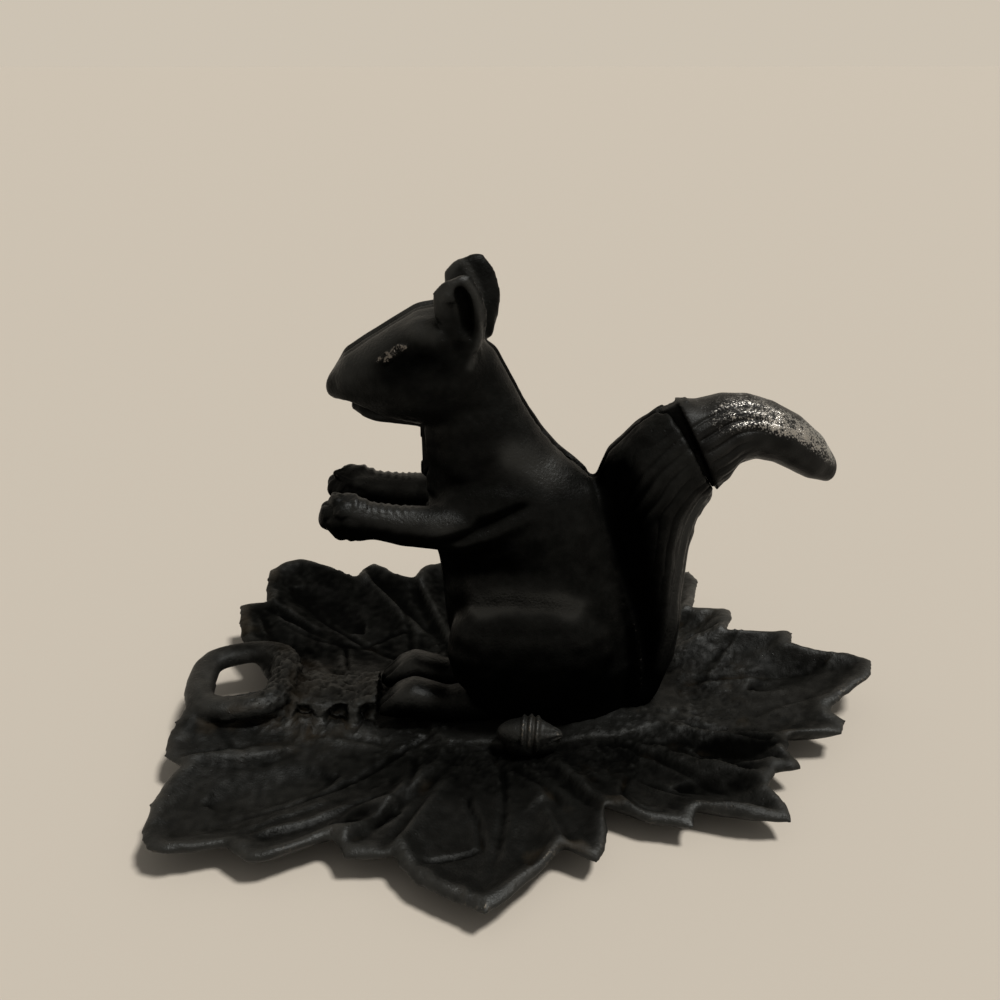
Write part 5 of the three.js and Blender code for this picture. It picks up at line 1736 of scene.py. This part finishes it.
    def ridge_rise(self, points: np.ndarray) -> np.ndarray:
        """Bark-like lumps on the ridge.

        Args:
            points: places on the surface, one row for each.

        Returns:
            Rise at each point, negative where the surface sinks.
        """
        coarse, fine = self.ridge_lumps
        lumps = coarse * pebbles(points, 0.0040, 81) + fine * pebbles(points, 0.0016, 82)
        return RIDGE_TOP.share(points) * (lumps - 0.0009)

    def masks(self, clay: Clay) -> None:
        """Paints brown dust on the rims, in the hollows and over the rough ground, worn metal on the rims,
        and the gloss mask with its painted shade and highlights.

        Args:
            clay: the shaped points, which get the masks.
        """
        points = clay.points
        hollow = clay.hollows(10)
        rim = hill(self.rim_gap - 0.001, 0.003)
        patches = 0.3 * waves(points, 0.022, 91) + 0.35 * waves(points, 0.006, 93)
        facing = ramp(clay.normals()[:, 2], 0.0, 0.7)
        rough = self.rough_mask(points)
        dust = 0.22 + 0.35 * rim + patches + 0.12 * rough + 450 * np.clip(hollow, 0, None)
        clay.paint("dust", dust * (0.3 + 0.7 * facing))
        worn = ramp(-hollow, 0.0002, 0.0008) * ramp(waves(points, 0.007, 95), -0.1, 0.6)
        clay.paint("bare", 0.22 * rim * worn)
        before = ramp(self.plinth_span(points), 2.5, 1.3) * BEFORE_THE_SQUIRREL.share(points)
        far = FAR_LOBES.share(points)
        ridge = RIDGE_WEAR_AND_HIGHLIGHT.share(points)
        # Painted shade: less gloss and a darker colour in the sunk hollows and other hollows, in the
        # squirrel's painted shadow before it, and on the far lobes.
        gloss_and_painted_light = 0.52 - 0.22 * self.sunk - 0.3 * before - 0.3 * far - 300 * np.clip(hollow, 0, None)
        # More gloss on the rims, ridge and crests, partly wear and partly painted highlight; less on the
        # ring.
        gloss_and_painted_light += 0.16 * rim * ramp(waves(points, 0.009, 98), -0.4, 0.6) + 0.22 * ridge - 0.12 * self.ring
        gloss_and_painted_light += 0.22 * ramp(-hollow, 0.0001, 0.0006)
        gloss_and_painted_light += 0.09 * waves(points, 0.0065, 96) + 0.12 * waves(points, 0.0016, 97)
        clay.paint("gloss_and_painted_light", gloss_and_painted_light)


@dataclass
class Acorn:
    """Acorn cast on beside the rump, lying on its side with its cap to the tail."""

    middle: tuple[float, float, float] = (-0.0030, -0.0254, 0.0112)
    half_length: float = 0.0102
    radius: float = 0.0054
    turn: float = -8.0
    ring_rise: float = 0.00045
    ring_pitch: float = 0.0023

    def build(self) -> bpy.types.Object:
        """Makes the acorn.

        Returns:
            The piece.
        """
        bpy.ops.mesh.primitive_uv_sphere_add(segments=96, ring_count=96, radius=1.0)
        piece = bpy.context.object
        piece.name = "acorn"
        clay = Clay(piece)
        lengthwise = clay.points[:, 2].copy()
        around = np.arctan2(clay.points[:, 1], clay.points[:, 0])
        width = np.linalg.norm(clay.points[:, :2], axis=1)
        cap = window(lengthwise, -0.28, -0.2, 0.25, 0.5)
        taper = ramp(lengthwise, 0.2, 0.95)
        body = width * (0.92 + 0.1 * cap) * (1 - 0.35 * taper)
        along = self.half_length * lengthwise
        rings = 0.5 + 0.5 * np.cos(2 * math.pi * (along - 0.0002) / self.ring_pitch)
        streaks = np.cos(9 * around + 2 * lengthwise)
        radius = self.radius * body + width * cap * self.ring_rise * (2 * rings - 1)
        radius += 0.0002 * streaks * taper * width
        made = np.stack([along, radius * np.cos(around), radius * np.sin(around)], axis=1)
        made += 0.00012 * waves(made, 0.0022, 95)[:, None]
        spin = np.array(Matrix.Rotation(math.radians(self.turn), 3, "Z"))
        clay.points = made @ spin.T + np.array(self.middle)
        clay.paint("dust", 0.35 + 0.4 * cap * (1 - rings))
        clay.paint("bare", 0.22 * np.maximum(cap * rings, 0.7 * taper))
        clay.paint("gloss_and_painted_light", 0.7 + 0.25 * cap * rings)
        clay.write()
        finish_piece(piece, STAND, Slot.TRAY)
        return piece


# The stage


@dataclass(frozen=True)
class Stage:
    """Camera, floor and lamps."""

    camera_place: tuple[float, float, float] = (-0.02091, -0.27656, 0.20189)
    camera_pitch: float = 24.0
    camera_turn: float = -3.0
    lens: float = 36.0
    sensor: float = 36.0
    shift: float = -0.0145
    floor_size: float = 40.0
    floor_colour: tuple[float, float, float] = (0.6, 0.55, 0.48)
    light_colour: tuple[float, float, float] = (0.2, 0.195, 0.185)
    background_colour: tuple[float, float, float] = (0.61, 0.545, 0.453)
    sun_place: tuple[float, float, float] = (0.42, -0.12, 1.0)
    sun_spread: float = 12.0
    sun_strength: float = 2.7
    sun_colour: tuple[float, float, float] = (1.0, 0.965, 0.91)
    floor_roughness: float = 0.9

    def build(self) -> None:
        """Makes the camera, floor, lamps and world."""
        self.camera()
        self.floor()
        self.sun()
        self.world()
        bpy.context.scene.view_settings.view_transform = "Standard"

    def camera(self) -> None:
        """Places the camera as the photograph was taken."""
        data = bpy.data.cameras.new("photo_camera")
        camera = bpy.data.objects.new("photo_camera", data)
        bpy.context.scene.collection.objects.link(camera)
        data.sensor_width = self.sensor
        data.lens = self.lens
        data.shift_x = self.shift
        data.clip_start = 0.01
        pitch, turn = math.radians(self.camera_pitch), math.radians(self.camera_turn)
        level = math.cos(pitch)
        ahead = Vector((-math.sin(turn) * level, math.cos(turn) * level, -math.sin(pitch)))
        self.aim(camera, self.camera_place, ahead)
        bpy.context.scene.camera = camera

    def floor(self) -> None:
        """Lays a pale matt floor."""
        bpy.ops.mesh.primitive_plane_add(size=self.floor_size, location=(0, 0, 0))
        floor = bpy.context.object
        floor.name = "floor"
        material = bpy.data.materials.new("pale_floor")
        material.use_nodes = True
        shader = material.node_tree.nodes["Principled BSDF"]
        shader.inputs["Base Color"].default_value = (*self.floor_colour, 1)
        shader.inputs["Roughness"].default_value = self.floor_roughness
        floor.data.materials.append(material)

    def sun(self) -> None:
        """Hangs one broad soft lamp far off, above and to the right of the camera."""
        data = bpy.data.lights.new("soft_lamp", "SUN")
        data.angle = math.radians(self.sun_spread)
        data.energy = self.sun_strength
        data.color = self.sun_colour
        lamp = bpy.data.objects.new("soft_lamp", data)
        bpy.context.scene.collection.objects.link(lamp)
        self.aim(lamp, self.sun_place, -Vector(self.sun_place))

    def aim(self, thing: bpy.types.Object, place: tuple[float, float, float], ahead: Vector) -> None:
        """Puts a camera or lamp in its place and turns it to look ahead.

        Args:
            thing: the camera or lamp.
            place: where it goes.
            ahead: the way that it looks.
        """
        thing.location = place
        thing.rotation_mode = "QUATERNION"
        thing.rotation_quaternion = ahead.to_track_quat("-Z", "Y")

    def world(self) -> None:
        """Surrounds the stage with an even light, which looks as pale as the floor itself."""
        world = bpy.data.worlds.new("pale_room")
        world.use_nodes = True
        table = NodeTable(world.node_tree)
        path = table.add("ShaderNodeLightPath").outputs
        seen = table.maths("MAXIMUM", path["Is Camera Ray"], path["Is Glossy Ray"])
        seen = table.maths("MAXIMUM", seen, path["Is Transmission Ray"])
        shown = table.mix("MIX", seen, (*self.light_colour, 1), (*self.background_colour, 1))
        table.feed(world.node_tree.nodes["Background"].inputs["Color"], shown)
        bpy.context.scene.world = world


def dress(piece: bpy.types.Object, material: bpy.types.Material) -> None:
    """Gives a piece one material."""
    piece.data.materials.clear()
    piece.data.materials.append(material)


def main() -> None:
    """Builds the stage, the castings and the finishes of the nodes that stay."""
    logging.basicConfig(level=logging.INFO, format="%(message)s")
    Stage().build()
    skin = IronSkin().group()
    shell_iron = iron_material(SHELL_FINISH, skin)
    for shell in Squirrel().build():
        dress(shell, shell_iron)
    dress(TailLever().build(), iron_material(HANDLE_FINISH, skin))
    tray_iron = iron_material(TRAY_FINISH, skin)
    dress(LeafTray().build(), tray_iron)
    dress(Acorn().build(), tray_iron)
    steel = steel_material(skin)
    for name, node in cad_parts.items():
        if name.startswith(STEEL_NODES):
            dress(node, steel)


if __name__ == "__main__":
    main()
